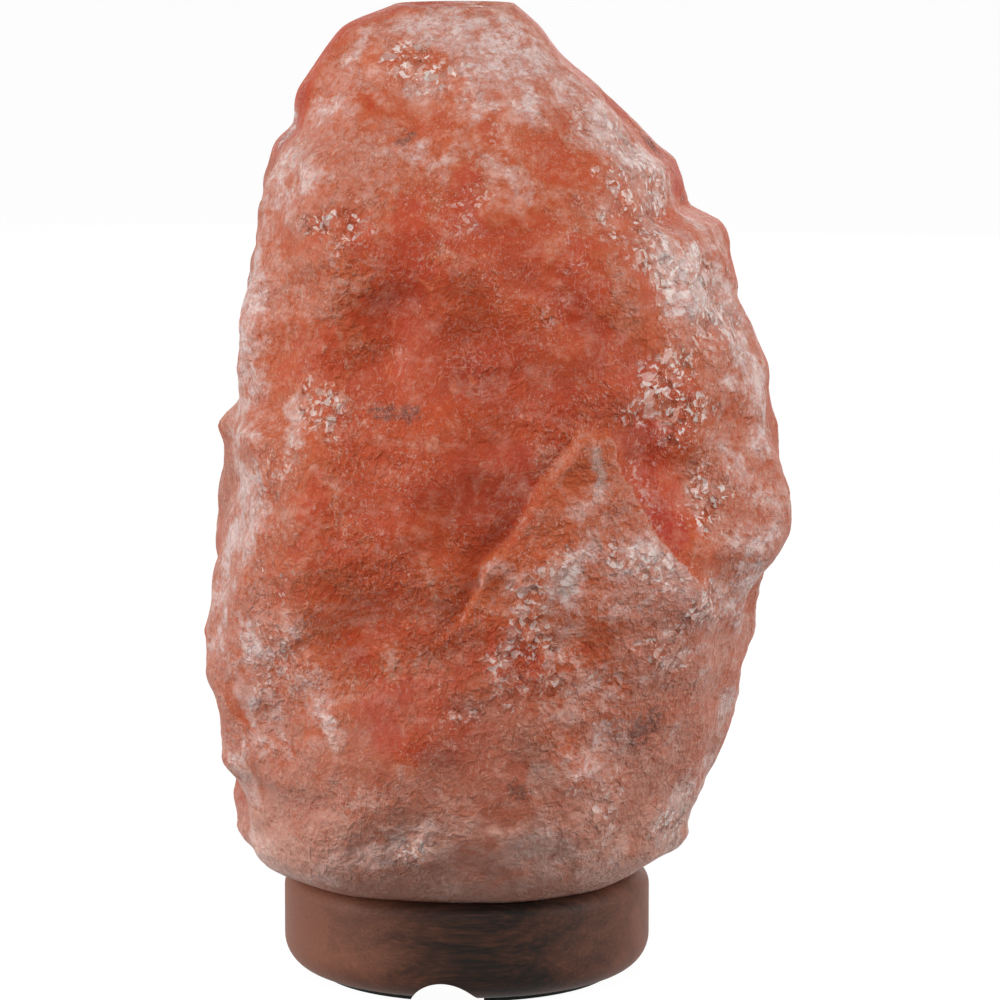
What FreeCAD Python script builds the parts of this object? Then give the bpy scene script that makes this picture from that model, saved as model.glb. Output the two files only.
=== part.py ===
import FreeCAD
import Part
import math
import os

# Salt crystal lamp: a rough rock salt crystal, core-drilled from below, screwed to a turned wooden base.
# A push-in lamp unit carries a small screw bulb: a pressed steel cup with sprung clips that grip the base.
# Millimetres. +Z is up, the origin is on the table under the middle of the base, and -Y is the front.

# --- wooden base ---
base_diameter = 100.0
base_height = 27.0
base_lower_round = 9.0
base_upper_round = 4.5
lower_flat_count = 5
upper_flat_count = 3
unit_hole_diameter = 48.0
recess_diameter = 55.0
recess_depth = 9.0
channel_radius = 10.0
channel_depth = 5.5
channel_turn = -7.5

# --- felt pad ---
pad_thickness = 1.5
pad_margin = 1.0

# --- salt crystal: greatest reach from the base's axis each way, and height above the base ---
crystal_height = 236.5
crystal_left = 70.5
crystal_right = 90.5
crystal_front = 69.0
crystal_back = 63.0
section_power = 2.25
well_diameter = 51.0
well_depth = 100.0
well_cone_height = 9.0

# --- fixings that hold the crystal down ---
fixing_count = 3
fixing_circle_radius = 34.0
fixing_first_angle = 90.0
screw_shank_diameter = 3.8
screw_tip_length = 5.0
screw_tip_gap = 3.2
screw_head_diameter = 7.0
screw_head_height = 2.4
counterbore_diameter = 7.6
wood_under_head = 17.0
plug_diameter = 6.0
plug_length = 22.0
plug_rim_height = 0.8
plug_split_width = 0.8
plug_split_start = 6.0
plug_split_share = 0.6
slot_width = 0.9
slot_depth = 1.2

# --- pressed steel cup of the lamp unit ---
sheet_thickness = 0.8
flange_diameter = 54.0
flange_lip_height = 1.6
cup_diameter = 36.0
cup_height = 9.5
cup_bend = 1.4

# --- nipple, nut, washer and cord bush ---
nipple_diameter = 10.0
nipple_bore_diameter = 8.2
nipple_rise = 9.0
nipple_end = 1.5
washer_diameter = 17.0
washer_thickness = 0.8
washer_teeth = 10
washer_notch_depth = 1.7
washer_notch_width = 1.4
nut_across_flats = 14.0
nut_height = 3.5
bush_bore_diameter = 6.6
bush_flange_diameter = 11.0
bush_flange_height = 1.2
bush_sleeve_length = 6.0

# --- sprung clips ---
clip_count = 3
clip_first_angle = 90.0
clip_width = 9.0
clip_thickness = 0.5
clip_root_height = 6.4
clip_reach_height = 7.6
clip_tip_height = 6.5
clip_tip_return = 3.0
clip_grip_round = 0.24
rivet_diameter = 2.2
rivet_head_diameter = 3.8
rivet_head_height = 0.7

# --- lampholder ---
holder_diameter = 27.2
holder_hub_diameter = 16.0
holder_hub_height = 9.8
holder_dome_height = 12.0
holder_skirt_height = 32.0
holder_wall = 1.8
holder_mouth_diameter = 24.8
holder_mouth_bore = 18.8
holder_ribs = 12
rib_radius = 0.9
rib_height = 9.0
skirt_collar_height = 10.0
skirt_step_height = 2.0
core_height = 10.0
core_sunk = 4.0
core_collar_wall = 1.0
core_collar_height = 3.0
core_slot_width = 4.0
core_slot_depth = 3.0
shell_length = 15.0
shell_wall = 0.4
terminal_spacing = 14.0
terminal_screw_diameter = 3.0
terminal_head_diameter = 5.2
terminal_head_height = 1.8
terminal_grip = 4.0
terminal_slot_width = 0.7
terminal_slot_depth = 0.8
tongue_width = 4.0
tongue_thickness = 0.4
tongue_length = 8.0
tongue_lift = 1.3
tongue_flat = 1.6
tongue_overlap = 2.0

# --- bulb ---
cap_thread_diameter = 13.9
cap_thread_length = 13.0
cap_wall = 0.25
cap_flare_diameter = 16.8
cap_flare_length = 6.0
insulator_height = 2.5
insulator_foot_diameter = 6.0
foot_contact_diameter = 4.8
foot_contact_height = 1.0
glass_diameter = 28.0
glass_neck_diameter = 16.0
glass_neck_length = 4.0
glass_length = 43.0
glass_wall = 0.7
glass_shoulder_angle = -42.0
glass_flat_count = 4
stem_foot_diameter = 12.0
stem_neck_diameter = 5.0
stem_start = 1.0
stem_flare_height = 7.0
lead_gap = 1.3
stem_length = 17.0
lead_diameter = 0.7
lead_spread = 8.0
lead_length = 14.0
filament_diameter = 0.5
filament_rise = 4.0
support_diameter = 0.4

# --- clearances ---
seat_gap = 0.3
screw_clearance = 0.05
shell_clearance = 0.2

# --- levels that the pieces share ---
base_radius = base_diameter / 2
base_bottom = pad_thickness
base_top = base_bottom + base_height
counterbore_depth = base_height - wood_under_head
shoulder_level = base_bottom + recess_depth
flange_level = shoulder_level - seat_gap
plate_level = flange_level + cup_height
holder_rim_level = plate_level + holder_hub_height + holder_dome_height
core_level = holder_rim_level + core_height - core_sunk
cap_level = core_level + tongue_lift + tongue_thickness + seat_gap
glass_level = cap_level + foot_contact_height + insulator_height + cap_thread_length + cap_flare_length / 2

# Each row of the crystal's outline: share of its height, then of its reach left, right, front and back.
crystal_rows = [
    (0.000, 0.68, 0.48, 0.66, 0.72),
    (0.010, 0.78, 0.52, 0.73, 0.78),
    (0.024, 0.86, 0.58, 0.80, 0.83),
    (0.047, 0.92, 0.655, 0.87, 0.88),
    (0.071, 0.915, 0.685, 0.92, 0.91),
    (0.118, 0.89, 0.74, 0.97, 0.95),
    (0.142, 0.925, 0.77, 0.98, 0.97),
    (0.189, 0.91, 0.785, 1.00, 0.99),
    (0.237, 0.945, 0.79, 1.00, 1.00),
    (0.331, 0.985, 0.86, 1.00, 1.00),
    (0.377, 0.98, 0.945, 0.99, 0.99),
    (0.424, 0.955, 1.00, 0.98, 0.98),
    (0.471, 0.92, 0.975, 0.97, 0.97),
    (0.517, 0.92, 0.93, 0.95, 0.95),
    (0.563, 0.83, 0.905, 0.93, 0.93),
    (0.609, 0.83, 0.855, 0.90, 0.91),
    (0.655, 0.855, 0.80, 0.87, 0.88),
    (0.701, 0.845, 0.785, 0.83, 0.84),
    (0.747, 0.82, 0.76, 0.78, 0.80),
    (0.770, 0.81, 0.65, 0.75, 0.77),
    (0.816, 0.745, 0.63, 0.68, 0.72),
    (0.838, 0.705, 0.57, 0.64, 0.69),
    (0.861, 0.635, 0.515, 0.60, 0.65),
    (0.906, 0.60, 0.39, 0.50, 0.55),
    (0.952, 0.52, 0.275, 0.37, 0.42),
    (0.974, 0.47, 0.225, 0.29, 0.33),
    (1.000, 0.27, 0.145, 0.16, 0.18),
]
crystal_facets_round = 60
crystal_facets_up = 38
facet_jitter = 0.22

# Shallow scoops (below zero) and swellings (above zero) where flakes came away: direction in degrees from +X,
# share of the height, half width and half height in mm, lean in degrees, and depth in mm.
crystal_scoops = [
    (262.0, 0.62, 40.0, 27.0, -20.0, -4.5),
    (246.0, 0.30, 36.0, 26.0, 15.0, -3.5),
    (300.0, 0.74, 22.0, 26.0, 35.0, 2.5),
    (318.0, 0.47, 22.0, 15.0, -25.0, -3.0),
    (225.0, 0.82, 24.0, 20.0, 10.0, 2.0),
    (205.0, 0.47, 16.0, 34.0, 5.0, -2.0),
    (290.0, 0.12, 34.0, 16.0, 8.0, 2.5),
    (340.0, 0.24, 20.0, 26.0, -12.0, 2.0),
    (20.0, 0.60, 34.0, 30.0, 25.0, -5.0),
    (62.0, 0.34, 38.0, 34.0, -30.0, -5.5),
    (98.0, 0.68, 34.0, 40.0, 18.0, 4.0),
    (130.0, 0.28, 32.0, 28.0, -15.0, 3.5),
    (158.0, 0.58, 30.0, 36.0, 30.0, -5.0),
    (84.0, 0.90, 22.0, 18.0, 0.0, -3.5),
]

# A thicker flake stands proud of the front, under a gable-shaped edge with a flat peak right of the middle.
gable_peak_x = 32.5
gable_peak_share = 0.538
gable_peak_half_width = 4.5
gable_slope_left = 1.50
gable_slope_right = 1.90
gable_step = 4.2
gable_edge_width = 5.0
gable_fade_start = 22.0
gable_fade_length = 60.0
gable_foot_share = 0.28
gable_foot_fade = 0.14

# Uneven relief all over: waves whose directions turn by the golden angle and whose lengths shrink.
wave_count = 11
wave_longest = 74.0
wave_shrink = 0.84
wave_height_share = 0.019
golden_angle = math.pi * (3 - math.sqrt(5))


def point(x, y, z):
    return FreeCAD.Vector(x, y, z)


def polar(radius, degrees, z):
    turn = math.radians(degrees)
    return point(radius * math.cos(turn), radius * math.sin(turn), z)


def save(name, *solids):
    shape = solids[0] if len(solids) == 1 else Part.makeCompound(list(solids))
    shape.exportStep("parts/" + name + ".step")
    print(name, "solids", len(shape.Solids), "volume", round(shape.Volume, 1), "valid", shape.isValid())


def turned(profile):
    """A solid of revolution about Z from a closed run of (radius, height) corners."""
    corners = [point(radius, 0, z) for radius, z in profile]
    face = Part.Face(Part.makePolygon(corners + corners[:1]))
    return face.revolve(point(0, 0, 0), point(0, 0, 1), 360)


def rounded(centre, radius, first, last, flats):
    """(radius, height) corners of a round made of flats, between two angles in degrees above level."""
    corners = []
    for step in range(flats + 1):
        turn = math.radians(first + (last - first) * step / flats)
        corners.append((centre[0] + radius * math.cos(turn), centre[1] + radius * math.sin(turn)))
    return corners


def ring(inner, outer, low, high):
    return turned([(inner, low), (outer, low), (outer, high), (inner, high)])


def rod(radius, start, end):
    return Part.makeCylinder(radius, (end - start).Length, start, end - start)


def turned_about(shape, degrees):
    copy = shape.copy()
    copy.rotate(point(0, 0, 0), point(0, 0, 1), degrees)
    return copy


def spaced(count, first):
    return [first + 360.0 * number / count for number in range(count)]


def fixing_angles():
    return spaced(fixing_count, fixing_first_angle)


def wooden_base():
    """Turned disc with a full lower round, a stepped hole for the lamp unit, and a front cord channel."""
    hole = unit_hole_diameter / 2
    low_centre = (base_radius - base_lower_round, base_bottom + base_lower_round)
    high_centre = (base_radius - base_upper_round, base_top - base_upper_round)
    lower_round = rounded(low_centre, base_lower_round, -90, 0, lower_flat_count)
    upper_round = rounded(high_centre, base_upper_round, 0, 90, upper_flat_count)
    body = turned([(hole, base_bottom)] + lower_round + upper_round + [(hole, base_top)])
    body = body.cut(Part.makeCylinder(recess_diameter / 2, recess_depth, point(0, 0, base_bottom)))
    channel_level = base_bottom + channel_depth - channel_radius
    way_out = polar(base_diameter, channel_turn - 90, channel_level)
    body = body.cut(rod(channel_radius, point(0, 0, channel_level), way_out))
    for degrees in fixing_angles():
        foot = polar(fixing_circle_radius, degrees, base_bottom)
        body = body.cut(Part.makeCylinder(counterbore_diameter / 2, counterbore_depth, foot))
        body = body.cut(Part.makeCylinder(screw_shank_diameter / 2 + screw_clearance, base_height, foot))
    return body


def felt_pad():
    """Felt ring glued under the base: it hides the screws and leaves the recess and the channel open."""
    flat = base_radius - base_lower_round
    body = ring(recess_diameter / 2 + pad_margin, flat - pad_margin, 0, pad_thickness)
    mouth = math.sqrt(channel_radius ** 2 - (channel_radius - channel_depth) ** 2) + pad_margin
    gap = Part.makeBox(2 * mouth, base_diameter, pad_thickness, point(-mouth, -base_diameter, 0))
    return body.cut(turned_about(gap, channel_turn))


def slopes(xs, ys):
    """Slopes at each point for a smooth curve through the points that never overshoots them."""
    steps = [(ys[i + 1] - ys[i]) / (xs[i + 1] - xs[i]) for i in range(len(xs) - 1)]
    inner = [0.0 if a * b <= 0 else 2 * a * b / (a + b) for a, b in zip(steps, steps[1:])]
    return [steps[0]] + inner + [steps[-1]]


def curve_value(xs, ys, rates, x):
    """The curve's height at x: a cubic between each pair of points."""
    i = max(k for k in range(len(xs) - 1) if xs[k] <= x or k == 0)
    width = xs[i + 1] - xs[i]
    t = (x - xs[i]) / width
    rise = ys[i] * (1 + 2 * t) * (1 - t) ** 2 + ys[i + 1] * t * t * (3 - 2 * t)
    return rise + width * (rates[i] * t * (1 - t) ** 2 - rates[i + 1] * t * t * (1 - t))


def ease(value):
    """0 below 0, 1 above 1, and a smooth rise between."""
    held = min(1.0, max(0.0, value))
    return held * held * (3 - 2 * held)


def wave_table():
    """The relief's waves: each a direction, a length, a height and a start."""
    table = []
    length = wave_longest
    for number in range(wave_count):
        level = 1 - 2 * (number + 0.5) / wave_count
        flat = math.sqrt(1 - level * level)
        turn = number * golden_angle
        push = (flat * math.cos(turn), flat * math.sin(turn), level)
        table.append((push, 2 * math.pi / length, length * wave_height_share, 1.7 * number))
        length *= wave_shrink
    return table


def wave_relief(waves, x, y, z):
    return sum(height * math.sin(rate * (px * x + py * y + pz * z) + start)
               for (px, py, pz), rate, height, start in waves)


def scoop_relief(degrees, share, radius):
    """The scoops' and swellings' depth at a place on the crystal: a soft dome over each leaning oval."""
    depth = 0.0
    for centre, centre_share, half_width, half_height, lean, most in crystal_scoops:
        across = math.remainder(math.radians(degrees - centre), 2 * math.pi) * radius
        up = (share - centre_share) * crystal_height
        turn = math.radians(lean)
        along = (across * math.cos(turn) + up * math.sin(turn)) / half_width
        over = (up * math.cos(turn) - across * math.sin(turn)) / half_height
        depth += most * ease(1.35 - 1.35 * math.hypot(along, over))
    return depth


def gable_relief(x, y, share):
    """The proud flake on the front: a step under two sloping broken edges, which fades out lower down."""
    side = x - gable_peak_x
    slope = gable_slope_right if side > 0 else gable_slope_left
    beyond = max(abs(side) - gable_peak_half_width, 0.0)
    under = (gable_peak_share - share) * crystal_height - slope * beyond
    fade = 1 - ease((under - gable_fade_start) / gable_fade_length)
    fade *= ease((share - gable_foot_share) / gable_foot_fade)
    front = ease(-y / crystal_front * 2.5)
    return gable_step * ease(under / gable_edge_width) * fade * front


def crystal_point(curves, waves, degrees, share):
    """A point of the crystal's skin, from its direction round the axis and its share of the height."""
    shares, columns = curves
    left, right, front, back = [curve_value(shares, column, rates, share) for column, rates in columns]
    turn = math.radians(degrees)
    across = math.cos(turn) / (right * crystal_right if math.cos(turn) > 0 else left * crystal_left)
    deep = math.sin(turn) / (back * crystal_back if math.sin(turn) > 0 else front * crystal_front)
    radius = (abs(across) ** section_power + abs(deep) ** section_power) ** (-1 / section_power)
    x = radius * math.cos(turn)
    y = radius * math.sin(turn)
    level = share * crystal_height
    relief = wave_relief(waves, x, y, level) + scoop_relief(degrees, share, radius)
    relief += gable_relief(x, y, share)
    calm = ease((1 - share) / 0.1) * (0.3 + 0.7 * ease(share / 0.06))
    radius += relief * calm
    return point(radius * math.cos(turn), radius * math.sin(turn), base_top + level)


def crystal_skin():
    """Corners and flat triangular facets of the rough crystal, row by row, each set half a facet round."""
    shares = [row[0] for row in crystal_rows]
    columns = []
    for side in range(1, 5):
        reach = [row[side] for row in crystal_rows]
        columns.append((reach, slopes(shares, reach)))
    waves = wave_table()
    corners = []
    for row in range(crystal_facets_up + 1):
        inner = 0 < row < crystal_facets_up
        for place in range(crystal_facets_round):
            number = row * crystal_facets_round + place
            shake = facet_jitter * math.sin(number * 12.9898) if inner else 0.0
            lift = facet_jitter * math.sin(number * 78.233) if inner else 0.0
            degrees = 360.0 * (place + 0.5 * (row % 2) + shake) / crystal_facets_round
            share = 0.5 - 0.5 * math.cos(math.pi * (row + lift) / crystal_facets_up)
            share = 0.45 * share + 0.55 * (row + lift) / crystal_facets_up
            corners.append(crystal_point((shares, columns), waves, degrees % 360, share))
    facets = []
    for row in range(crystal_facets_up):
        low = row * crystal_facets_round
        high = low + crystal_facets_round
        for place in range(crystal_facets_round):
            after = (place + 1) % crystal_facets_round
            if row % 2:
                facets += [(low + place, low + after, high + after),
                           (low + place, high + after, high + place)]
            else:
                facets += [(low + place, low + after, high + place),
                           (low + after, high + after, high + place)]
    return corners, facets


def crystal_body():
    """The closed rough crystal: its facets, with one flat face under it and one small flat face on top."""
    corners, facets = crystal_skin()
    skin = Part.Shape()
    skin.makeShapeFromMesh((corners, facets), 0.001)
    bottom = corners[:crystal_facets_round]
    top = corners[-crystal_facets_round:]
    caps = [Part.Face(Part.makePolygon(loop + loop[:1])) for loop in (bottom, top)]
    sewn = Part.makeCompound(skin.Faces + caps)
    sewn.sewShape()
    body = Part.Solid(sewn.Shells[0])
    if body.Volume < 0:
        body.reverse()
    return body


def salt_crystal():
    """The crystal with the blind well that the bulb stands in and the holes for the wall plugs."""
    body = crystal_body()
    radius = well_diameter / 2
    well = Part.makeCylinder(radius, well_depth, point(0, 0, base_top))
    point_end = Part.makeCone(radius, radius / 4, well_cone_height, point(0, 0, base_top + well_depth))
    body = body.cut(well.fuse(point_end))
    for degrees in fixing_angles():
        foot = polar(fixing_circle_radius, degrees, base_top)
        body = body.cut(Part.makeCylinder(plug_diameter / 2 + screw_clearance, plug_length + seat_gap, foot))
    return body


def crystal_screws():
    """Cross-slotted wood screws in the base's counterbores, each ending in a point inside its wall plug."""
    shank = screw_shank_diameter / 2
    head = screw_head_diameter / 2
    under_head = base_bottom + counterbore_depth
    tip = base_top + plug_length - plug_rim_height - screw_tip_gap
    one = turned([
        (0, under_head - screw_head_height),
        (head, under_head - screw_head_height),
        (head, under_head),
        (shank, under_head),
        (shank, tip - screw_tip_length),
        (0, tip),
    ])
    slot = head * 0.8
    for turn in (0, 90):
        corner = point(-slot, -slot_width / 2, under_head - screw_head_height)
        blade = Part.makeBox(2 * slot, slot_width, slot_depth, corner)
        one = one.cut(turned_about(blade, turn))
    screws = []
    for degrees in fixing_angles():
        copy = one.copy()
        copy.translate(polar(fixing_circle_radius, degrees, 0))
        screws.append(copy)
    return screws


def wall_plugs():
    """Nylon plugs in the crystal's underside: a split sleeve round each screw, closed at the top."""
    outer = plug_diameter / 2
    bore = screw_shank_diameter / 2 + screw_clearance
    top = base_top + plug_length
    floor = top - plug_rim_height
    one = turned([(bore, base_top), (outer, base_top), (outer, top), (0, top), (0, floor), (bore, floor)])
    corner = point(-plug_diameter, -plug_split_width / 2, base_top + plug_split_start)
    one = one.cut(Part.makeBox(2 * plug_diameter, plug_split_width, plug_length * plug_split_share, corner))
    plugs = []
    for degrees in fixing_angles():
        copy = one.copy()
        copy.translate(polar(fixing_circle_radius, degrees, 0))
        plugs.append(copy)
    return plugs


def clip_angles():
    return spaced(clip_count, clip_first_angle)


def rivet_level():
    return flange_level + cup_bend + clip_root_height / 2


def cover_cup():
    """Pressed steel cup: a flange under the base's shoulder and a raised middle for the lampholder."""
    rim = flange_diameter / 2
    wall = cup_diameter / 2
    under = flange_level - sheet_thickness
    lip = flange_level - flange_lip_height
    inner = wall - sheet_thickness
    hole = nipple_diameter / 2 + screw_clearance
    body = turned([
        (rim, lip),
        (rim, flange_level),
        (wall, flange_level),
        (wall, plate_level - sheet_thickness),
        (wall - sheet_thickness, plate_level),
        (hole, plate_level),
        (hole, plate_level - sheet_thickness),
        (inner, plate_level - sheet_thickness),
        (inner, under),
        (rim - sheet_thickness, under),
        (rim - sheet_thickness, lip),
    ])
    for degrees in clip_angles():
        body = body.cut(rod(rivet_diameter / 2, polar(inner - 2, degrees, rivet_level()),
                            polar(wall + 2, degrees, rivet_level())))
    return body


def clip_roots():
    """The riveted ends of the three sprung clips, flat on the outside of the cup's wall."""
    near = cup_diameter / 2 + screw_clearance
    low = flange_level + cup_bend
    one = Part.makeBox(clip_thickness, clip_width, clip_root_height, point(near, -clip_width / 2, low))
    level = rivet_level()
    one = one.cut(rod(rivet_diameter / 2, point(near - 1, 0, level), point(near + 2, 0, level)))
    return [turned_about(one, degrees) for degrees in clip_angles()]


def clip_rivets():
    """Flat-headed rivets through the cup's wall and each clip's root."""
    wall_in = cup_diameter / 2 - sheet_thickness
    tab_out = cup_diameter / 2 + screw_clearance + clip_thickness
    tail_out = wall_in - seat_gap
    level = rivet_level()
    radius = rivet_head_diameter / 2
    shank = rod(rivet_diameter / 2, point(tail_out, 0, level), point(tab_out, 0, level))
    head = rod(radius, point(tab_out, 0, level), point(tab_out + rivet_head_height, 0, level))
    tail = rod(radius, point(tail_out - rivet_head_height, 0, level), point(tail_out, 0, level))
    one = shank.fuse(head).fuse(tail).removeSplitter()
    return [turned_about(one, degrees) for degrees in clip_angles()]


def clip_arm():
    """One sprung arm in the XZ plane: out and up to its grip on the hole, then in to a lead-in tip."""
    half = clip_thickness / 2
    grip = math.sqrt((unit_hole_diameter / 2 - seat_gap) ** 2 - (clip_width / 2) ** 2) - half
    root_r = cup_diameter / 2 + screw_clearance + half
    root_z = flange_level + cup_bend + clip_root_height + seat_gap
    grip_z = root_z + clip_reach_height
    tip_z = grip_z + clip_tip_height
    run = [(root_r, root_z), (grip, grip_z), (grip - clip_tip_return, tip_z)]
    outer = [point(r + half, -clip_width / 2, z) for r, z in run]
    inner = [point(r - half, -clip_width / 2, z) for r, z in reversed(run)]
    loop = outer + inner
    face = Part.Face(Part.makePolygon(loop + loop[:1]))
    arm = face.extrude(point(0, clip_width, 0))
    at_grip = [edge for edge in arm.Edges if all(abs(end.Z - grip_z) < half for end in edge.Vertexes)]
    return arm.makeFillet(clip_grip_round, at_grip[:1])


def nipple():
    """Threaded tube through the cup's plate: it holds the lampholder and lets the cord in."""
    low = plate_level - sheet_thickness - washer_thickness - nut_height - nipple_end
    return ring(nipple_bore_diameter / 2, nipple_diameter / 2, low, plate_level + nipple_rise)


def lock_washer():
    """Toothed washer between the nut and the cup's plate."""
    high = plate_level - sheet_thickness
    low = high - washer_thickness
    rim = washer_diameter / 2
    body = ring(nipple_diameter / 2 + screw_clearance, rim, low, high)
    for degrees in spaced(washer_teeth, 0):
        corner = point(rim - washer_notch_depth, -washer_notch_width / 2, low)
        notch = Part.makeBox(2 * washer_notch_depth, washer_notch_width, washer_thickness, corner)
        body = body.cut(turned_about(notch, degrees))
    return body


def nipple_nut():
    high = plate_level - sheet_thickness - washer_thickness
    corner = nut_across_flats / math.sqrt(3)
    loop = [polar(corner, 60 * number, high - nut_height) for number in range(7)]
    body = Part.Face(Part.makePolygon(loop)).extrude(point(0, 0, nut_height))
    radius = nipple_diameter / 2 + screw_clearance
    bore = Part.makeCylinder(radius, nut_height, point(0, 0, high - nut_height))
    return body.cut(bore)


def cord_bush():
    """Plastic bush in the nipple's lower mouth, where the cord comes in."""
    high = plate_level - sheet_thickness - washer_thickness - nut_height - nipple_end
    bore = bush_bore_diameter / 2
    sleeve = nipple_bore_diameter / 2 - screw_clearance
    flange = bush_flange_diameter / 2
    return turned([
        (bore, high - bush_flange_height),
        (flange, high - bush_flange_height),
        (flange, high),
        (sleeve, high),
        (sleeve, high + bush_sleeve_length),
        (bore, high + bush_sleeve_length),
    ])


def holder_cap():
    """Lower half of the lampholder: a hub on the nipple, widening into a cup for the core."""
    hub = holder_hub_diameter / 2
    wide = holder_diameter / 2
    bore = nipple_diameter / 2 + screw_clearance
    low = plate_level
    neck = low + holder_hub_height
    rim = holder_rim_level
    shoulder = neck + holder_dome_height * 0.4
    return turned([
        (bore, low),
        (hub, low),
        (hub, neck),
        (wide, shoulder),
        (wide, rim),
        (wide - holder_wall, rim),
        (wide - holder_wall, shoulder),
        (bore, shoulder),
    ])


def holder_skirt():
    """Upper half of the lampholder: a ribbed sleeve that narrows to the mouth round the bulb's cap."""
    wide = holder_diameter / 2
    mouth = holder_mouth_diameter / 2
    low = holder_rim_level
    high = low + holder_skirt_height
    collar = low + skirt_collar_height
    bore = holder_mouth_bore / 2
    body = turned([
        (wide - holder_wall, low),
        (wide, low),
        (wide, collar),
        (mouth, collar + skirt_step_height),
        (mouth, high),
        (bore, high),
        (bore, collar),
        (wide - holder_wall, collar),
    ])
    foot = low + (skirt_collar_height - rib_height) / 2
    rib = Part.makeCylinder(rib_radius, rib_height, point(wide - seat_gap, 0, foot))
    for degrees in spaced(holder_ribs, 0):
        body = body.fuse(turned_about(rib, degrees))
    return body


def holder_core():
    """Porcelain core: a disc that carries the threaded shell above and the two terminals below."""
    wide = holder_diameter / 2 - holder_wall - screw_clearance
    low = core_level - core_height
    collar_in = cap_thread_diameter / 2 + shell_clearance + shell_wall + screw_clearance
    collar_top = core_level + core_collar_height
    body = turned([
        (0, low),
        (wide, low),
        (wide, core_level),
        (collar_in + core_collar_wall, core_level),
        (collar_in + core_collar_wall, collar_top),
        (collar_in, collar_top),
        (collar_in, core_level),
        (0, core_level),
    ])
    hole = terminal_screw_diameter / 2 + screw_clearance
    for side in (-1, 1):
        place = point(side * terminal_spacing / 2, 0, low)
        body = body.cut(Part.makeCylinder(hole, terminal_grip + seat_gap, place))
    corner = point(-core_slot_width / 2, -wide, low)
    return body.cut(Part.makeBox(core_slot_width, 2 * wide, core_slot_depth, corner))


def contact_shell():
    """Brass sleeve that the bulb's cap screws into."""
    bore = cap_thread_diameter / 2 + shell_clearance
    return ring(bore, bore + shell_wall, core_level, core_level + shell_length)


def terminal_screws():
    """Slotted screws under the core, one for each conductor of the cord."""
    low = core_level - core_height
    under = low - terminal_head_height
    head = terminal_head_diameter / 2
    shank = Part.makeCylinder(terminal_screw_diameter / 2, terminal_grip, point(0, 0, low))
    corner = point(-head, -terminal_slot_width / 2, under)
    slot = Part.makeBox(2 * head, terminal_slot_width, terminal_slot_depth, corner)
    one = shank.fuse(Part.makeCylinder(head, terminal_head_height, point(0, 0, under))).cut(slot)
    screws = []
    for side in (-1, 1):
        copy = one.copy()
        copy.translate(point(side * terminal_spacing / 2, 0, 0))
        screws.append(copy)
    return screws


def contact_tongue():
    """Springy brass strip: it lies on the core at one end and rises to touch the bulb's foot contact."""
    start = tongue_overlap - tongue_length
    low = core_level + screw_clearance
    high = low + tongue_lift
    half = tongue_width / 2
    run = [(start, low), (start + tongue_flat, low), (0, high), (tongue_overlap, high)]
    under = [point(x, -half, z) for x, z in run]
    over = [point(x, -half, z + tongue_thickness) for x, z in reversed(run)]
    loop = under + over
    return Part.Face(Part.makePolygon(loop + loop[:1])).extrude(point(0, tongue_width, 0))


def bulb_cap():
    """Thin screw cap of the bulb with a flared collar that holds the glass."""
    low = cap_level + foot_contact_height + insulator_height
    thread = cap_thread_diameter / 2
    flare = cap_flare_diameter / 2
    neck = low + cap_thread_length
    top = neck + cap_flare_length
    shoulder = neck + cap_flare_length * 0.6
    return turned([
        (thread, low),
        (thread, neck),
        (flare, shoulder),
        (flare, top),
        (flare - cap_wall, top),
        (flare - cap_wall, shoulder + cap_wall / 2),
        (thread - cap_wall, neck + cap_wall / 2),
        (thread - cap_wall, low),
    ])


def bulb_insulator():
    """Black glass cone between the cap and the foot contact."""
    low = cap_level + foot_contact_height
    high = low + insulator_height
    wide = (cap_thread_diameter - cap_wall) / 2
    return turned([(0, low), (insulator_foot_diameter / 2, low), (wide, high), (0, high)])


def foot_contact():
    """Solder button at the bulb's foot, a little domed."""
    radius = foot_contact_diameter / 2
    high = cap_level + foot_contact_height
    edge = cap_level + foot_contact_height / 2
    return turned([(0, cap_level), (radius * 0.7, cap_level), (radius, edge), (radius, high), (0, high)])


def bulb_glass():
    """Blown pear-shaped envelope with a thin wall, open at the neck: coarser flats inside than outside."""
    neck = glass_neck_diameter / 2 - cap_wall - screw_clearance
    belly = glass_diameter / 2
    neck_top = glass_level + glass_neck_length
    centre = (0, glass_level + glass_length - belly)
    outside = rounded(centre, belly, glass_shoulder_angle, 90, glass_flat_count)
    inside = rounded(centre, belly - glass_wall, 90, glass_shoulder_angle, glass_flat_count // 2)
    return turned([(neck, glass_level), (neck, neck_top)] + outside + inside
                  + [(neck - glass_wall, neck_top), (neck - glass_wall, glass_level)])


def lead_ends():
    """Foot, stem top and tip of the two lead wires, left then right."""
    low = glass_level + stem_start
    pinch = glass_level + stem_length - stem_start
    tip = pinch + lead_length
    half = lead_spread / 2
    return [(point(side * lead_gap, 0, low), point(side * lead_gap, 0, pinch), point(side * half, 0, tip))
            for side in (-1, 1)]


def lead_wires():
    """Two wires up through the stem, spreading above it to carry the filament's ends."""
    wires = []
    for foot, pinch, tip in lead_ends():
        lower = rod(lead_diameter / 2, foot, pinch)
        wires.append(lower.fuse(rod(lead_diameter / 2, pinch, tip)).removeSplitter())
    return wires


def support_wire():
    """Fine wire that holds up the middle of the filament."""
    low = glass_level + stem_length - 2.0
    high = glass_level + stem_length - 1.0 + lead_length + filament_rise
    return rod(support_diameter / 2, point(0, 0, low), point(0, 0, high - filament_diameter))


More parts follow.
